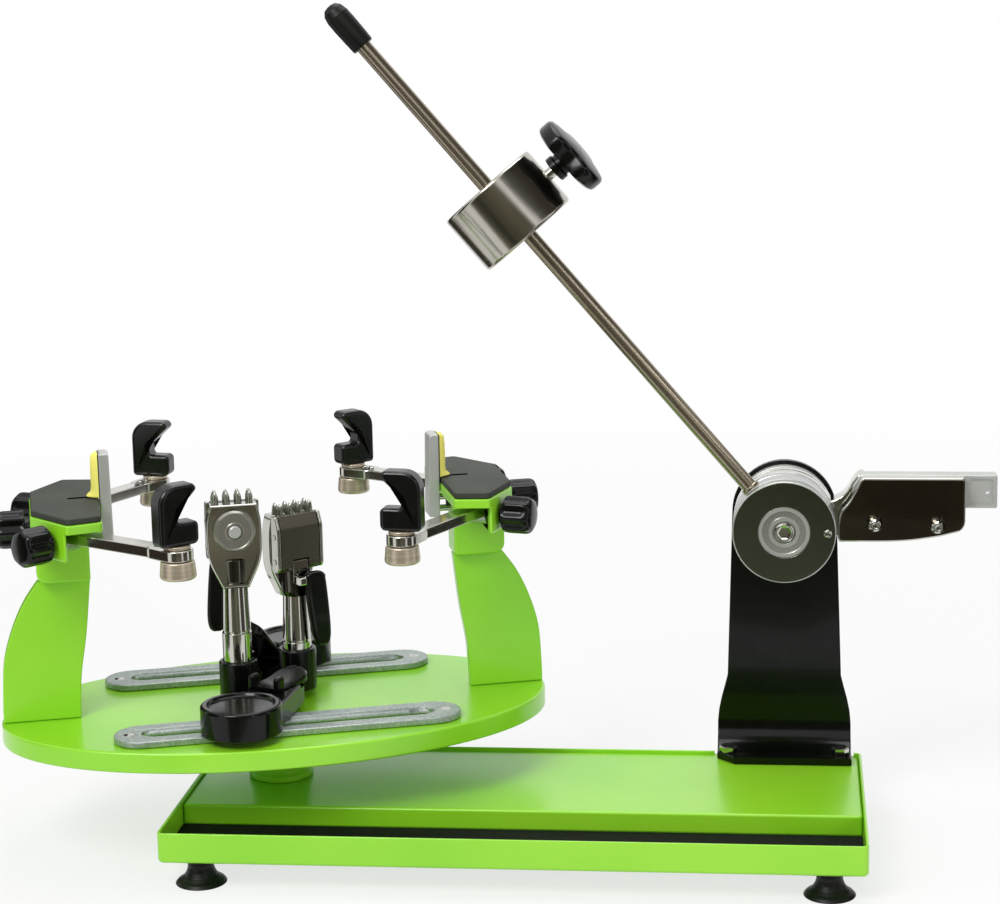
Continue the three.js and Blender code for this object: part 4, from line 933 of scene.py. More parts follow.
for name, mount in MOUNTS.items():
    body = name + "_support"
    bar = plate(name + "_support_bar", rounded(BAR, [1.5, 1, 1.2, 2.2], 5),
                mount @ STANDING, -BAR_HALF, BAR_HALF, 0.9)
    finish(bar, satin_steel, body, "bright_steel", name + "_inner_support")
    for number, height in enumerate(ROD_HEIGHTS):
        lying = mount @ move(z=height) @ SIDEWAYS
        rod = round_bar(f"{name}_support_rod_{number + 1}", ROD_RADIUS, *ROD_ENDS, lying)
        finish(rod, chrome, body, "bright_steel")
    tape = plate(name + "_tape", rounded(TAPE, 0.1, 1), mount @ STANDING, -TAPE_HALF, TAPE_HALF, 0.1)
    finish(tape, foot_black, body, "black_rubber")
    strip = loft(name + "_foam_strip", [foam_ring(*level) for level in FOAM_LEVELS], mount, crease=60)
    finish(strip, yellow_foam, body, "yellow_rubber", name + "_support_pad")
print("supports are", BAR[2][1] - BAR[0][1], "mm tall")

# %% [markdown]
# ## Knobs
# Six black knobs drive the arms and supports. Each is a moulded cylinder
# with eight wide flutes that die out in a domed end. A turned profile whose
# radius swells and dips with the angle gives the flutes, and the dip fades
# towards the dome.

# %% Fluted knobs
FLUTES, FLUTE_DEPTH, FLUTE_START, FLUTE_END = 8, 0.15, 3.8, 23.4
SCREW_REACHES = {"support": 41, "front_arm": 27, "rear_arm": 27}
KNOB_DOME = [(12.9, 18.4), (12.6, 19.8), (12.0, 21.1), (10.9, 22.2), (9.2, 23.0), (6.6, 23.5),
             (3.4, 23.75), (CORE, 23.8)]


def knob_wave(angle, z):
    """How far the flutes cut in at an angle and a height of the knob, as a share of its radius."""
    fade = max(0.0, min(1.0, (z - FLUTE_START) / 1.5)) * max(0.0, min(1.0, (FLUTE_END - z) / 5.0))
    return 1 - FLUTE_DEPTH * fade * (0.5 - 0.5 * math.cos(FLUTES * angle)) ** 0.8


def knob_profile(reach):
    screw = [(CORE, -reach), (2.4, -reach), (3, -reach + 0.6), (3, 0.8), (7, 0.8)]
    collar = rounded([(7, 0.8), (7, 3.8), (12.4, 3.8), (13, 5.6)], 0.6, 2, False)[1:]
    return screw + collar + [(13, z) for z in (7, 9, 11, 13, 15, 17)] + KNOB_DOME


for side_name in MOUNTS:
    for place_name, reach in SCREW_REACHES.items():
        node = f"{side_name}_{place_name}_knob"
        knob = lathe(f"{side_name}_{place_name}_fluted_knob", knob_profile(reach), at_joint(node + "_turn"),
                     steps=96, crease=50, wave=knob_wave)
        finish(knob, knob_black, node, "black_plastic", node)
print("knobs:", len(MOUNTS) * len(SCREW_REACHES))

# %% [markdown]
# ## Arms
# Flat chromed bars reach from under each casting to the hooks. The far end
# widens to a round boss that carries the hook's stud, with two small screws
# in front of it. A knurled nut under the casting joins the arm to its
# knob's screw.

# %% Arms with boss and knurled nut
ARM_HEIGHTS, BOSS_HEIGHTS, BOSS_RADIUS, HEEL_RADIUS = (222.5, 229.5), (222.4, 229.6), 10.2, 8.4
HOOK_X, HOOK_Y, NUT_SETBACK, BOSS_SCREWS, SCREW_HIGH = 72, 112, 15, (10.5, 17), 229.3
BOSS_SCREW = [(CORE, 0), (2.2, 0), (2.2, 1.0), (1.3, 1.6), (CORE, 1.7)]
KNURLED_NUT, KNURLS, KNURL_DEPTH = [(3.4, -6), (7.5, -6), (7.5, 6), (3.4, 6)], 24, 0.03
ARMS = [(side_name + ("_front" if (side < 0) == (side_name == "right") else "_rear"), mount, side)
        for side_name, mount in MOUNTS.items() for side in (-1, 1)]


def knurl(angle, z):
    return 1 - KNURL_DEPTH * (math.sin(KNURLS * angle) > 0)


for name, mount, side in ARMS:
    along_slant = Vector((MIDDLE - OUTER, side * 36)).normalized()
    outwards = Vector((side * along_slant.y, -side * along_slant.x))
    root = Vector(((MIDDLE + OUTER) / 2, side * 48)) - outwards * NUT_SETBACK
    tip = Vector((HOOK_X, side * HOOK_Y))
    run = (tip - root).normalized()
    bar_end, heel = tip - run * 3, tip - run * 15
    arm = join_pieces(
        plate(name + "_flat_arm", bar_outline(*root, 7, *bar_end, 6.6), mount, *ARM_HEIGHTS),
        plate("boss", bar_outline(*heel, HEEL_RADIUS, *tip, BOSS_RADIUS, 16),
              mount, *BOSS_HEIGHTS, 1.0, steps=4))
    finish(arm, arm_chrome, name + "_arm", "chrome", name + "_arm")
    for number, setback in enumerate(BOSS_SCREWS):
        spot = tip - run * setback
        place = mount @ move(*spot, SCREW_HIGH)
        screw = lathe(f"{name}_clevis_screw_{number + 1}", BOSS_SCREW, place, 0.3, 2, 20)
        finish(screw, tooth_chrome, name + "_arm", "chrome")
    bearing = math.degrees(math.atan2(outwards.y, outwards.x))
    nut_place = mount @ move(*root, DRIVE) @ turn(bearing, "Z") @ turn(90, "Y")
    nut = lathe(name + "_knurled_nut", KNURLED_NUT, nut_place, 0.7, 2, 96, 40, closed=True, wave=knurl)
    finish(nut, jaw_steel, name + "_arm", "chrome")
print("arms end", round((tip - root).length), "mm from their nuts")

# %% [markdown]
# ## Hooks
# Each hook is a moulded C that grips the racket's frame from outside: a
# block with a lower lip, a thick back and a beak that points down. Its
# outline is drawn with straight runs, then every corner gets its own radius,
# and the side edges are rounded generously, as moulded parts are. Under the
# arm a brushed nut with a slight taper holds the hook's stud.

# %% Hooks and swivel nuts
HOOK_LOW, HOOK_TALL, HOOK_HALF, HOOK_BACK, HOOK_LIP, HOOK_YAW = 232.2, 39.5, 7, -14.5, 13, 25
low, lip, throat, beak, high = (HOOK_LOW + HOOK_TALL * share for share in (0, 0.385, 0.563, 0.905, 1))
HOOK = [(HOOK_BACK, low), (HOOK_LIP, low), (HOOK_LIP, lip), (-1.4, lip), (-1.4, throat), (HOOK_LIP, beak),
        (10.4, high), (HOOK_BACK, high)]
SWIVEL_NUT = [(CORE, 210.2), (11.9, 210.2), (10.8, 222.0), (4, 222.0), (4, 229.7), (8.6, 229.7),
              (8.6, 232.1), (4, 232.1), (4, 237.5), (CORE, 237.5)]
for name, mount, side in ARMS:
    place = mount @ move(HOOK_X, side * HOOK_Y) @ turn(180 + side * HOOK_YAW, "Z")
    hook = plate(name + "_moulded_hook", rounded(HOOK, [3, 4, 3.4, 2.4, 2.2, 3, 4, 15], 8),
                 place @ STANDING, -HOOK_HALF, HOOK_HALF, edge=2.6, steps=6)
    finish(hook, hook_black, name + "_hook", "black_plastic", name + "_hook")
    nut = lathe(name + "_brushed_nut", SWIVEL_NUT, place, soft=[0, 2.2, 1.2, 0, 0, 0.7, 0.7, 0, 0.5, 0],
                bends=4, steps=56)
    finish(nut, nut_steel, name + "_hook", "bright_steel", name + "_swivel_nut")
print("hooks stand", HOOK_TALL, "mm tall")

# %% [markdown]
# ## String clamps
# Two equal clamps ride on the rails. Each base is a black die casting: a
# round foot with a polished dish, a body that runs back to the lock lever,
# and a collar for the tube. Every part is written in the clamp's own frame,
# which starts at the stud in the rail, so both clamps come from one loop.
# The rear one is turned round, stands lower and has its head turned away.

# %% Frames of the two clamps
COLLAR_X, COLLAR_Y, COLLAR_TALL, LOCK_WAY, LOCK_REACH, LOCK_HIGH = 5, 56, 29, 49, 30, 16.3
CLAMPS = {
    "front": {"rail_x": -33, "turn": 0, "drop": 0, "head_turn": 0, "lock_tilt": 0},
    "rear": {"rail_x": -20, "turn": 180, "drop": 15, "head_turn": 25, "lock_tilt": 40},
}
for clamp in CLAMPS.values():
    clamp["stud"] = TABLE @ turn(clamp["turn"], "Z") @ move(clamp["rail_x"], -RAIL_Y, RAIL_LOW)
    clamp["base"] = clamp["stud"] @ move(z=4.8)
    collar_top = clamp["base"] @ move(COLLAR_X, COLLAR_Y, COLLAR_TALL - clamp["drop"])
    lock_pivot = clamp["base"] @ move(z=LOCK_HIGH) @ turn(LOCK_WAY, "Z") @ move(LOCK_REACH)
    clamp["head"] = collar_top @ turn(clamp["head_turn"], "Z")
    clamp["lock"] = lock_pivot @ turn(-clamp["lock_tilt"], "Y")
print({name: [round(v, 3) for v in clamp["head"].translation] for name, clamp in CLAMPS.items()})

# %% Shoes and bases
SHOE = [(CORE, 0), (5.6, 0), (5.6, 4.5), (3.6, 4.5), (3.6, 12.8), (CORE, 12.8)]
DISH = [(CORE, 0), (26.2, 0), (27, 0.8), (27, 19.5), (22.6, 19.5), (21.6, 17.9), (20.9, 17.4), (CORE, 17.4)]
COLLAR = [(10.3, 0), (13, 0), (13, COLLAR_TALL), (10.3, COLLAR_TALL)]
DISH_Y, BODY_START, BODY_HIGH, SADDLE, SADDLE_FLOOR = -14, (2, -12, 23), 16, (24.8, 70.3, -14, 14), 12.6
LOW_ARM, LOW_ARM_HIGH = (0, 0, 13, COLLAR_X, COLLAR_Y, 12.6), 6.5
FAR_END, FAR_RADIUS = 53, 13
far_x, far_y = FAR_END * math.cos(math.radians(LOCK_WAY)), FAR_END * math.sin(math.radians(LOCK_WAY))


def collar_room(radius, high, place):
    return plate("collar_room", circle(COLLAR_X, COLLAR_Y, radius, 36), place, -2, high, 0)


for name, clamp in CLAMPS.items():
    base = clamp["base"]
    shoe = lathe(name + "_turned_shoe", SHOE, clamp["stud"], soft=0.5, steps=40)
    finish(shoe, turned_steel, name + "_slide_shoe", "bright_steel", name + "_slide_shoe")

    casting = lathe(name + "_base_casting", DISH, base @ move(y=DISH_Y),
                    [0, 0.4, 0.4, 2.2, 0.6, 0.5, 0.8, 0], 5, 96)
    low_arm = plate("low_arm", bar_outline(*LOW_ARM, 20), base, 0, LOW_ARM_HIGH, 1.2)
    cut(low_arm, collar_room(COLLAR[0][0], 9, base))
    body_outline = bar_outline(*BODY_START, far_x, far_y, FAR_RADIUS, 20)
    body = plate("body", body_outline, base, 0, BODY_HIGH, 2.0, steps=4)
    saddle = plate("saddle", sharp_box(*SADDLE), base @ turn(LOCK_WAY, "Z"), SADDLE_FLOOR, 20, 0)
    cut(body, saddle, collar_room(12.6, 20, base))
    node = name + "_clamp_base"
    finish(join_pieces(casting, low_arm, body), gloss_black, node, "black_paint", node)
    collar = lathe(name + "_base_collar", COLLAR, base @ move(COLLAR_X, COLLAR_Y),
                   [0.3, 0.8, 1.4, 0.6], 4, closed=True)
    finish(collar, knob_black, node, "black_paint")
print("bases reach back to", round(far_y + FAR_RADIUS), "mm")

# %% [markdown]
# ## Lock levers
# A thumb paddle on each base locks it to its rail. It is a scooped blade,
# thick at the far end, with two upright ears at the pivot. Rings across the
# blade carry the scoop: each ring's top dips in the middle, and the rings
# narrow towards the rounded tip.

# %% Scooped paddles
PADDLE_START, PADDLE_LENGTH, PADDLE_HALF, PADDLE_LOW = -2.2, 42.2, 12.5, -2.4
SCOOP, TIP_START, STATIONS = 0.9, 0.72, 14
EAR_Y, EAR_HALF, EAR_ENDS, EAR_HEIGHTS = 10.2, 2.6, (-2.8, 5.8), (-1, 9.4)


def paddle_ring(share):
    """A section across the paddle, with softened corners and a dished top."""
    tip = max(0.04, 1 - ((share - TIP_START) / 0.29) ** 2)
    half = PADDLE_HALF * (1 if share < TIP_START else math.sqrt(tip))
    low, high = PADDLE_LOW, 2.6 - 2.0 * math.sin(math.pi * share) + 3.4 * share ** 2
    corner = min(1.4, half * 0.3, (high - low) * 0.3)
    under = [(-half + corner, low), (half - corner, low), (half, low + corner), (half, high - corner)]
    top = [(t * (half - corner), high - SCOOP * (1 - t * t)) for t in [1 - k / 6 for k in range(13)]]
    x = PADDLE_START + PADDLE_LENGTH * share
    return [(x, y, z) for y, z in under + top + [(-half, high - corner), (-half, low + corner)]]


for name, clamp in CLAMPS.items():
    paddle = loft(name + "_lock_paddle", [paddle_ring(k / STATIONS) for k in range(STATIONS + 1)],
                  clamp["lock"], 40)
    ears = [plate("ear", round_box(*EAR_ENDS, middle - EAR_HALF, middle + EAR_HALF, 2.2), clamp["lock"],
                  *EAR_HEIGHTS, 2.0, steps=4) for middle in (-EAR_Y, EAR_Y)]
    finish(join_pieces(paddle, *ears), knob_black, name + "_lock_lever", "black_paint",
           name + "_lock_lever")
print("paddles are", PADDLE_LENGTH, "mm long")

# %% [markdown]
# ## Clamp tubes and heads
# A chromed tube rises from each collar, with a shallow ring cut a third of
# the way up. The head on top is a casting with flared sides, a round cover
# with a pin, and a row of blunt teeth that hold the string. Barrel, sides
# and cover stay separate pieces, since each has its own finish, and only
# the teeth of one row are joined.

# %% Tubes, heads and teeth
TOOTH_PITCH, TOOTH_LOW, TOOTH_TALL, TOOTH_HALF = 7.8, 110, 9, 2.45
TOOTH_TAPER = ((0, 1.0), (0.3, 1.0), (0.55, 0.92), (0.75, 0.74), (0.9, 0.46), (0.98, 0.2), (1.0, 0.06))
LEVER_X, LEVER_Y, LEVER_Z, HINGE_Y, HINGE_Z = -7.5, 13.9, 66.5, 5.2, 76
TUBE = [(CORE, -13), (9.6, -13), (10, -12.6), (10, 20), (9.2, 20.3), (9.2, 21.4), (9.7, 21.8),
        (8.6, 53.2), (CORE, 53.2)]
BARREL = [(CORE, 53.3), (8.8, 53.3), (10.8, 56.8), (11.2, 72), (10.2, 73), (CORE, 73)]
COVER = [(CORE, -4), (14.3, -4), (14.3, 1.2), (13.0, 2.9), (12.2, 3.0), (11.6, 2.5), (6.4, 2.6),
         (5.9, 3.0), (5.4, 3.0), (5.0, 2.4), (CORE, 2.4)]
BUTTON = [(CORE, 2.3), (4.2, 2.3), (4.2, 4.4), (3.6, 5.0), (CORE, 5.0)]
FLARE = [(8.9, 53), (12.2, 60), (16.2, 69), (18.1, 77), (18.5, 88), (18.2, 99), (16.8, 107), (15.6, 111)]
LEVER_ROOM, HINGE_LUG = (8.2, 20, 50, 76), (1.7, 8.7, 63, 79.5)
flange = smooth_through(FLARE, 5)
head_outline = flange + [(-x, z) for x, z in reversed(flange)]


def tooth(x, y0, y1, place):
    """A blunt tooth, a little rough, that narrows to a rounded tip."""
    middle, deep = (y0 + y1) / 2, (y1 - y0) / 2
    rings = []
    for share, width in TOOTH_TAPER:
        rings.append([(x + TOOTH_HALF * width * math.cos(a) * (0.94 + 0.06 * math.cos(4 * a)),
                       middle + deep * (0.35 + 0.65 * width) * math.sin(a), TOOTH_LOW + TOOTH_TALL * share)
                      for a in [2 * math.pi * k / 16 for k in range(16)]])
    return loft("tooth", rings, place, 60)


def add_teeth(name, y0, y1, clamp_name, part):
    row = [tooth((i - 1.5) * TOOTH_PITCH, y0, y1, CLAMPS[clamp_name]["head"]) for i in range(4)]
    finish(join_pieces(*row, name=f"{clamp_name}_{name}"), tooth_chrome, f"{clamp_name}_{part}", "chrome")


for name, clamp in CLAMPS.items():
    head, body = clamp["head"], name + "_clamp_post"
    tube = lathe(name + "_clamp_tube", TUBE, head, [0, 0.1, 0.1, 0.3, 0.2, 0.2, 0.3, 0, 0], steps=72)
    barrel = lathe(name + "_dark_barrel", BARREL, head, 0.5)
    cut(barrel, plate("lever_room", sharp_box(*LEVER_ROOM), head @ SIDEWAYS, -20, 20, 0))
    finish(barrel, dark_barrel, body, "chrome")
    sides = plate("sides", head_outline, head @ STANDING, 0.7, 11.7, 1.3, steps=4)
    cut(sides, plate("front_room", drawn_in(head_outline, 2.8), head @ STANDING, 9.0, 15, 0))
    face = head @ move(0, -11.7, 93) @ turn(90, "X")
    finish(lathe(name + "_round_cover", COVER, face, 0.35, steps=72), cover_steel, body, "chrome")
    finish(lathe(name + "_cover_button", BUTTON, face, 0.3, steps=40), satin_steel, body, "chrome")
    join_pieces(
        tube, sides,
        round_bar("lever_pin", 2.1, -15.4, 1.6, head @ move(0, LEVER_Y, LEVER_Z) @ SIDEWAYS),
        plate("lever_lug", round_box(0, 17.8, 62.6, 68.4, 1.6), head @ SIDEWAYS, 0.9, 5.7, 0.6),
        plate("hinge_lug", rounded(sharp_box(*HINGE_LUG), 1.5, 3), head @ SIDEWAYS, -6, 6, 0.5),
        round_bar("hinge_pin", 2, -12, 12, head @ move(0, HINGE_Y, HINGE_Z) @ SIDEWAYS))
    finish(tube, chrome, body, "chrome", body)
    add_teeth("fixed_teeth", -6.3, -0.8, name, "clamp_post")
print("teeth stand up to", TOOTH_LOW + TOOTH_TALL, "mm over the collars")

# %% [markdown]
# ## Moving jaws and clamp levers
# Opposite each fixed row, a second jaw hangs on a pin. Its cover is a curved
# shell between two side cheeks with small bolts, and it ends in a ledge
# above the hinge. A black lever with fully rounded edges squeezes the jaws.

# %% Jaws
JAW_SIDE = rounded([(0.7, 72), (7.9, 72), (9.7, 75), (9.7, 102), (6.0, 111), (0.7, 111)],
                   [0.4, 1.5, 2, 8, 1.2, 0.4], 6)
JAW_HALF, CHEEK_STARTS, CHEEK_THICK = 15.2, (-18.2, 15.6), 2.6
BOLT_SPOTS = [(-17.4, 79.5), (-17.4, 97), (17.4, 79.5), (17.4, 97)]
CHEEK_BOLT = [(CORE, 0), (2.3, 0), (2.3, 0.7), (1.5, 1.2), (CORE, 1.2)]
LEDGE_GAP, LUG_ROOM = (8.9, 11, 77.4, 78.4), (-2, 10.8, 60, 80.4)
LEVER_LENGTH, LEVER_LEAN, LEVER_HALF = 49, 5, 3.3
LEVER_SIDE = [(0, 4.4), (4.6, 4.1), (7.2, 2.2), (7.9, -2), (8.0, -14), (7.6, -30), (6.9, -40), (5.4, -46),
              (2.8, -48.7), (0, -LEVER_LENGTH)]
half_lever = smooth_through(LEVER_SIDE, 5)
lever_outline = [(w + LEVER_LEAN * z / LEVER_LENGTH, z) for w, z in reversed(half_lever)]
lever_outline += [(LEVER_LEAN * z / LEVER_LENGTH - w, z) for w, z in half_lever[1:-1]]
for name, clamp in CLAMPS.items():
    head, body = clamp["head"], name + "_clamp_jaw"
    shell = plate(name + "_moving_jaw", JAW_SIDE, head @ SIDEWAYS, -JAW_HALF, JAW_HALF)
    cut(shell, plate("ledge_gap", sharp_box(*LEDGE_GAP), head @ SIDEWAYS, -9.5, 9.5, 0),
        plate("lug_room", sharp_box(*LUG_ROOM), head @ SIDEWAYS, -6.5, 6.5, 0),
        round_bar("pin_room", 2.4, -12.4, 12.4, head @ move(0, HINGE_Y, HINGE_Z) @ SIDEWAYS, soft=0,
                  steps=24))
    finish(shell, jaw_cover_steel, body, "chrome", body)
    cheeks = [plate("cheek", JAW_SIDE, head @ SIDEWAYS, low, low + CHEEK_THICK, 0.7)
              for low in CHEEK_STARTS]
    bolts = [lathe("bolt", CHEEK_BOLT, head @ move(x, 5, z) @ turn(math.copysign(90, x), "Y"), 0.25, 2, 20)
             for x, z in BOLT_SPOTS]
    finish(join_pieces(*cheeks, *bolts, name=name + "_jaw_cheeks"), tooth_chrome, body, "chrome")
    add_teeth("moving_teeth", 0.8, 5.4, name, "clamp_jaw")

    lever = plate(name + "_squeeze_lever", lever_outline, head @ move(LEVER_X, LEVER_Y, LEVER_Z) @ STANDING,
                  -LEVER_HALF, LEVER_HALF, 2.4, steps=5)
    cut(lever, round_bar("lever_bore", 2.5, -20, 20, head @ move(0, LEVER_Y, LEVER_Z) @ SIDEWAYS, soft=0,
                         steps=24))
    finish(lever, knob_black, name + "_clamp_lever", "black_plastic", name + "_clamp_lever")
print("levers reach", LEVER_LENGTH, "mm below their pins")

# %% [markdown]
# ## Bracket
# The tension head stands on one strip of thick steel that is bent up from a
# foot. Its sides lean in, and its top is round. The strip is made as rings
# across its own path, along the foot, round the bend and up the face, so
# the bend is smooth and the width can change all the way.

# %% Bent strip
AXIS_X, AXIS_Z, FACE_Y, SHEET, BEND = 405.8, 211.3, 195.9, 5, 18
FOOT_LOW, FOOT_FRONT, TOP_RADIUS, CHAMFER = 37.2, 162.0, 36.4, 12
HALF_WIDTHS = [(37, 47), (58, 47), (66, 46.2), (75, 44.4), (84, 42), (92, 40), (AXIS_Z, TOP_RADIUS)]
FOOT_STEPS, FACE_STEPS, BOLT_X, BOLT_Y = (0, 0.5, 3, 6, 9, 12, 15.6), [66, 75, 84, 92, 130, 170], 39, 13
SPACER = [(8.3, -195.8), (33.6, -195.8), (33.6, -188.6), (32.6, -188.0), (32.6, -187.2), (33.6, -186.6),
          (33.6, -180.9), (8.3, -180.9)]
DRUM = BASE @ move(AXIS_X, 0, AXIS_Z) @ STANDING


def strip_width(z):
    """Half the width of the upright at a height."""
    for (z0, w0), (z1, w1) in zip(HALF_WIDTHS, HALF_WIDTHS[1:]):
        if z <= z1:
            return w0 + (w1 - w0) * (z - z0) / (z1 - z0)
    return math.sqrt(max(0.8, TOP_RADIUS ** 2 - (z - AXIS_Z) ** 2))


def strip_ring(y, z, way):
    """A section of the strip at a place on its path. The way points through the sheet, in degrees."""
    right = strip_width(z)
    left = right - max(0.0, CHAMFER - (y - FOOT_FRONT))
    section = rounded(sharp_box(-left, right, -SHEET / 2, SHEET / 2), 0.9, 3)
    through = Vector((math.cos(math.radians(way)), math.sin(math.radians(way))))
    return [(AXIS_X + u, y + through.x * v, z + through.y * v) for u, v in section]


bend_y, bend_z, bend_radius = FACE_Y - BEND, FOOT_LOW + SHEET + BEND, BEND + SHEET / 2
top_steps = [AXIS_Z + TOP_RADIUS * math.sin(math.radians(a)) for a in range(0, 90, 6)]
top_steps.append(AXIS_Z + TOP_RADIUS - 0.1)
path = [(FOOT_FRONT + ahead, FOOT_LOW + SHEET / 2, -90) for ahead in FOOT_STEPS]
path += [(*arc(bend_y, bend_z, bend_radius, way, way, 1)[0], way)
         for way in [7.5 * k - 90 for k in range(1, 13)]]
path += [(FACE_Y + SHEET / 2, z, 0) for z in FACE_STEPS + top_steps]
bracket = loft("bent_bracket", [strip_ring(*spot) for spot in path], BASE)
finish(bracket, gloss_black, "base", "black_paint", "drum_bracket")
spacer = lathe("bracket_spacer", SPACER, DRUM, 0.4, steps=96, closed=True)
finish(spacer, satin_steel, "base", "machined_steel")
for number, way in enumerate((-1, 1)):
    place = BASE @ move(AXIS_X + way * BOLT_X, FOOT_FRONT + BOLT_Y, FOOT_LOW + SHEET + 0.1)
    hexagon = rounded(circle(0, 0, 6.4, 6), 0.3, 2)
    bolt = plate(f"bracket_bolt_{number + 1}", hexagon, place, 0, 4.4, 0.7, steps=2)
    finish(bolt, chrome, "base", "bright_steel")
print("bracket:", len(bracket.data.vertices), "corners")

# %% [markdown]
# ## Drum
# On the bracket's axle turns the drum: a dark polished disc in front with a
# bearing set in it, the ring that carries the rod, and the body with the
# gripper. All are turned about the same axis. Their profiles run from back
# to front. The disc's rim is a small chamfer made as a separate ring of light
# steel. It is a painted highlight, so that a bright line runs round the dark disc.

# %% Front disc, bearing and axle
DISC = [(17.6, -139.2), (34.4, -139.2), (34.9, -138.6), (34.9, -132.6), (34.2, -132.0), (34.2, -130.6),
        (34.0, -130.5), (17.9, -130.5), (17.6, -130.8)]
DISC_HIGHLIGHT_RIM = [(34.25, -132.5), (35, -132.5), (35, -131.2), (34.6, -130.5), (34.25, -130.5)]
RIVET = [(CORE, -134), (2.9, -134), (2.9, -130.2), (2.2, -129.4), (1.2, -129.9), (CORE, -129.9)]
BEARING = [(CORE, -139.2), (17.4, -139.2), (17.4, -131.0), (14.9, -131.0), (14.6, -132.0), (10.6, -132.0),
           (10.3, -131.2), (7.9, -131.2), (7.6, -132.6), (CORE, -132.6)]
AXLE_BOLT = [(CORE, -200.9), (8, -200.9), (8, -133.0), (6.7, -133.0), (6.7, -130.4), (5.9, -129.6),
             (CORE, -129.6)]
disc = lathe("polished_front_disc", DISC, DRUM, 0.15, 2, 128, 30, True)
finish(disc, dark_mirror, "drum", "black_paint", "drum_front_disc")
# The rim ring is light steel round a disc in black paint: a painted highlight along the disc's edge.
finish(lathe("disc_rim_painted_highlight", DISC_HIGHLIGHT_RIM, DRUM, 0.15, 2, 128, 30, True), satin_steel, "drum", "black_paint")
finish(lathe("disc_rivet", RIVET, DRUM @ move(29.3, -0.6), 0.35, steps=32), chrome, "drum", "chrome")
bearing = lathe("axle_bearing", BEARING, DRUM, 0.3, steps=96)
finish(bearing, bearing_steel, "base", "machined_steel", "drum_axle")
axle_bolt = lathe("axle_bolt", AXLE_BOLT, DRUM, 0.4, steps=48)
cut(axle_bolt, plate("socket", circle(0, 0, 3.9, 6), DRUM, -132.4, -128, 0))
finish(axle_bolt, chrome, "base", "machined_steel")
print("disc is", 2 * DISC_HIGHLIGHT_RIM[1][0], "mm wide")

# %% Rod ring, rod and cap
ROD_RING = [(18.3, -161.3), (34.4, -161.3), (35, -160.7), (35, -155.2), (34.3, -154.9), (34.3, -154.3),
            (35, -154.0), (35, -140.3), (34.2, -139.6), (18.3, -139.6)]
FERRULE = [(CORE, 33), (7, 33), (6.5, 36.2), (5.6, 37), (CORE, 37)]
ROD_SIDE = [(CORE, 36), (5.25, 36), (5.25, 445), (4.6, 446), (CORE, 446)]
CAP = [(5.5, 431), (7.5, 431), (7.9, 432), (8.2, 440), (8.4, 450), (8.3, 457), (7.2, 462), (4.7, 465),
       (2, 465.8), (CORE, 465.8)]
rod_way = Vector(joints["weight_slide"]["axis"])
ROD = along(Vector(joints["rod_turn"]["pos_m"]), rod_way, (0, 1, 0))
finish(lathe("drum_ring", ROD_RING, DRUM, 0.25, 2, 128, 30, True), jaw_steel, "rod", "chrome", "rod_ring")
finish(lathe("rod_ferrule", FERRULE, ROD, 0.5, steps=48), rod_steel, "rod", "chrome")
finish(lathe("polished_rod", ROD_SIDE, ROD, 0.3, 2, 48), rod_steel, "rod", "bright_steel", "weight_rod")
cap = lathe("rubber_cap", CAP, ROD, [0, 0.4, 0.6, 0.5, 0.5, 2, 2, 1.5, 0.5, 0], 3, 56, 50)
finish(cap, foot_black, "rod", "black_rubber", "rod_cap")
print("rod is", ROD_SIDE[-1][1], "mm long from the axle")

# %% [markdown]
# ## Sliding weight
# The weight is a solid turned cylinder with a bore for the rod, polished to
# a soft mirror, and its edges are broken to a two millimetre radius. The
# screw of its three-lobed knob pins it to the rod.

# %% Weight and knob
WEIGHT_AT, LOBES, LOBE_AT, HOLLOW = 285, 3, 30, 0.26
WEIGHT_SIDE = [(5.6, -22), (36.5, -22), (36.5, 22), (5.6, 22)]
STEM = [(CORE, 41.6), (9, 41.6), (9, 46.2), (7.8, 46.6), (7.8, 52), (CORE, 52)]
CROWN = [(CORE, 50.6), (20, 50.6), (24.4, 51.0), (26.4, 52.2), (27, 54), (27, 59.4), (26.5, 61.2),
         (25.0, 62.6), (21, 63.6), (14, 64.5), (7, 64.9), (CORE, 65)]


def lobes(angle, z):
    """Three broad lobes with hollows between them."""
    nearness = abs((math.degrees(angle) - LOBE_AT) * LOBES / 360 % 1 - 0.5) * 2
    rise = max(0.0, min(1.0, (nearness - 0.08) / 0.5))
    return 1 - HOLLOW * (1 - rise * rise * (3 - 2 * rise))


weight_place = ROD @ move(z=WEIGHT_AT)
block = lathe("turned_weight", WEIGHT_SIDE, weight_place, [0.8, 2.2, 2.2, 0.8], 5, 128, closed=True)
finish(block, weight_steel, "weight", "bright_steel", "sliding_weight")
KNOB = at_joint("weight_knob_turn", tuple(rod_way))
finish(round_bar("weight_screw", 4, 6.2, 43, KNOB, soft=0.6, steps=32), chrome, "weight_knob", "chrome")
stem = lathe("lobed_knob", STEM, KNOB, 0.6, steps=48)
join_pieces(stem, lathe("crown", CROWN, KNOB, steps=120, crease=60, wave=lobes))
finish(stem, knob_black, "weight_knob", "black_plastic", "weight_knob")
print("weight spans", 2 * WEIGHT_SIDE[1][0], "mm")
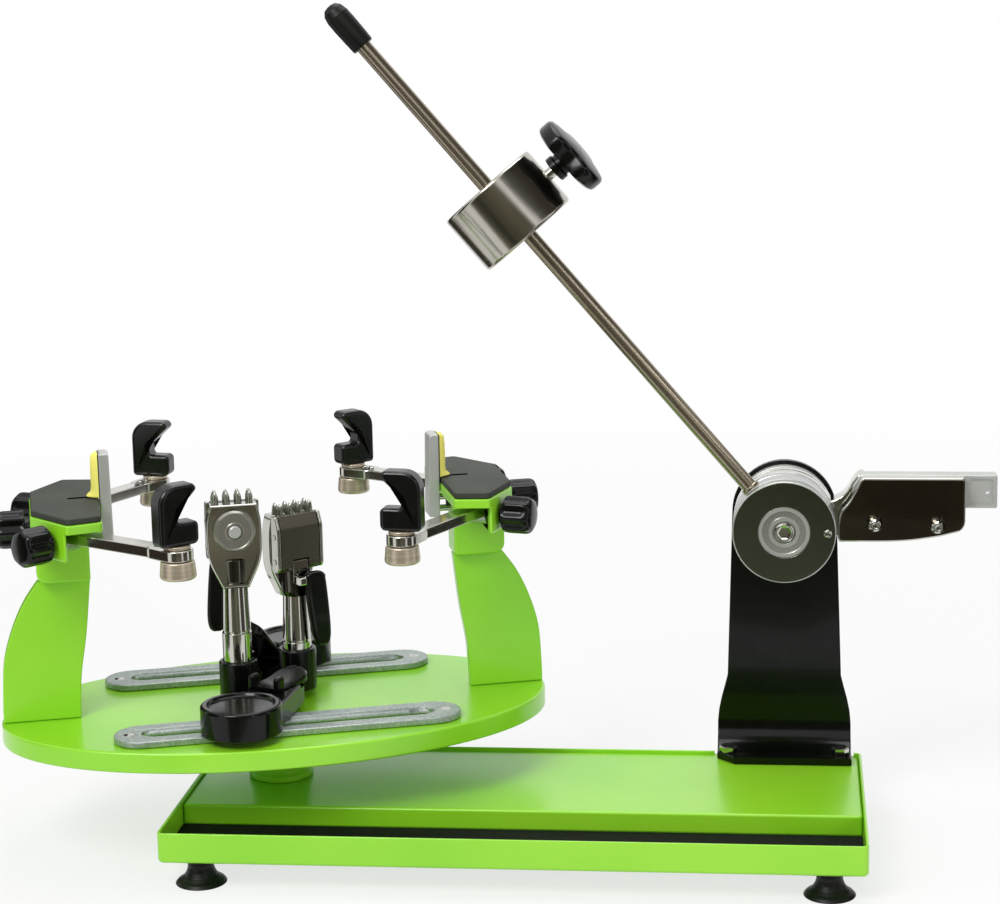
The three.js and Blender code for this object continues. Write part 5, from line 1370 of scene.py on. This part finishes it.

# %% [markdown]
# ## String gripper
# The string is held between two jaws on the drum's right. The far jaw is one
# piece with the drum's body, joined by a hollow curved neck, and its long
# end is plain brushed steel. The near jaw is a mirror-bright plate on two
# domed guide pins. Its face is a darker mirror than its edges: a painted
# reflection of a dark room, put into the face's colour. Outlines are drawn
# as they are seen from the front.

# %% Drum body and fixed jaw
DRUM_BODY = [(8.4, -179.8), (34.2, -179.8), (35, -179.0), (35, -173.4), (33.4, -173.0), (33.4, -171.4),
             (35, -171.0), (35, -162.4), (34.4, -161.8), (18, -161.8), (18, -139.5), (8.4, -139.5)]
NECK_TOP = [(29, 14), (34, 15.5), (39.5, 18.5), (43.5, 23), (46.5, 28.5), (50.5, 33), (54, 34)]
JAW_LOW = [(46, -10.5), (66, -10.4), (84, -9.4), (98, -7.4), (108, -5)]
JAW_CORNERS = [(121.6, -1, 6), (122, 11, 0.5), (144, 11, 1.6), (144, 34, 1.6), (52, 34, 3), (46.5, 26, 2)]
GUIDE_PIN = [(CORE, -161), (5.1, -161), (5.1, -147.2), (4.7, -146.6), (5.1, -146.0), (5.1, -143.6),
             (4.2, -140.6), (3.1, -139.2), (2.2, -139.2), (1.9, -140), (CORE, -140)]
GUIDES, GUIDE_ROOM = ((61, 3), (103, 2)), 5.4
NECK_DEPTHS, JAW_DEPTHS = (-179.5, -163.2), (-172.5, -159.6)
RECESS, RECESS_DEPTHS = (125.5, 141.4, 13.6, 31.2), (-160.9, -157)
HOLE, HOLE_DEPTHS = (137.8, 20.5, 1.9), (-175, -155)
drum_body = lathe("drum_body", DRUM_BODY, DRUM, 0.3, 3, 128, 30, True)
neck_outline = [(29, -10.5), (54, -10.5)] + list(reversed(smooth_through(NECK_TOP, 5)))
join_pieces(drum_body, plate("drum_neck", neck_outline, DRUM, *NECK_DEPTHS, 1.2))
finish(drum_body, chrome, "drum", "chrome", "tension_drum")
jaw_outline = with_corners(smooth_through(JAW_LOW, 5), JAW_CORNERS)
fixed_jaw = plate("fixed_jaw", jaw_outline, DRUM, *JAW_DEPTHS, 0.9)
cut(fixed_jaw, plate("recess", round_box(*RECESS, 1.6), DRUM, *RECESS_DEPTHS, 0),
    plate("hole", circle(*HOLE), DRUM, *HOLE_DEPTHS, 0))
finish(fixed_jaw, satin_steel, "drum", "chrome")
for number, spot in enumerate(GUIDES):
    pin = lathe(f"guide_pin_{number + 1}", GUIDE_PIN, DRUM @ move(*spot), 0.4, steps=40)
    finish(pin, chrome, "drum", "chrome")
print("fixed jaw reaches", JAW_CORNERS[2][0], "mm from the axle")

# %% Moving plate
PLATE_LEFT = [(36.4, -8.5), (36.6, 3), (38.6, 10.5), (43, 16.5), (47, 23), (51.4, 32)]
PLATE_BOTTOM = [(37.5, -10.4), (66, -10.4), (84, -9.5), (98, -7.6), (106, -6.2)]
PLATE_CORNERS = [(122, -2, 8), (122, 34, 2.4), (52.6, 34, 1.6)]
PLATE_DEPTHS, FACE_DEPTHS, ROOM_DEPTHS = (-157.6, -148.4), (-149.4, -148), (-160, -145)
plate_outline = with_corners(smooth_through(PLATE_BOTTOM, 5), PLATE_CORNERS)
plate_outline += reversed(smooth_through(PLATE_LEFT, 5))
moving_plate = plate("mirror_plate", plate_outline, DRUM, *PLATE_DEPTHS, 1.2, steps=4)
# The face is a darker metal than the chrome plate around it: a painted reflection of a dark room.
painted_dark_face = plate("face_painted_dark", drawn_in(plate_outline, 1.1), DRUM, *FACE_DEPTHS, 0.3, steps=2)
for piece in (moving_plate, painted_dark_face):
    cut(piece, *[plate("pin_room", circle(x, z, GUIDE_ROOM), DRUM, *ROOM_DEPTHS, 0) for x, z in GUIDES])
finish(moving_plate, chrome, "gripper_jaw", "chrome", "gripper_jaw")
finish(painted_dark_face, painted_reflection_steel, "gripper_jaw", "chrome")
print("mirror plate is", round(FACE_DEPTHS[1] - PLATE_DEPTHS[0], 1), "mm thick")
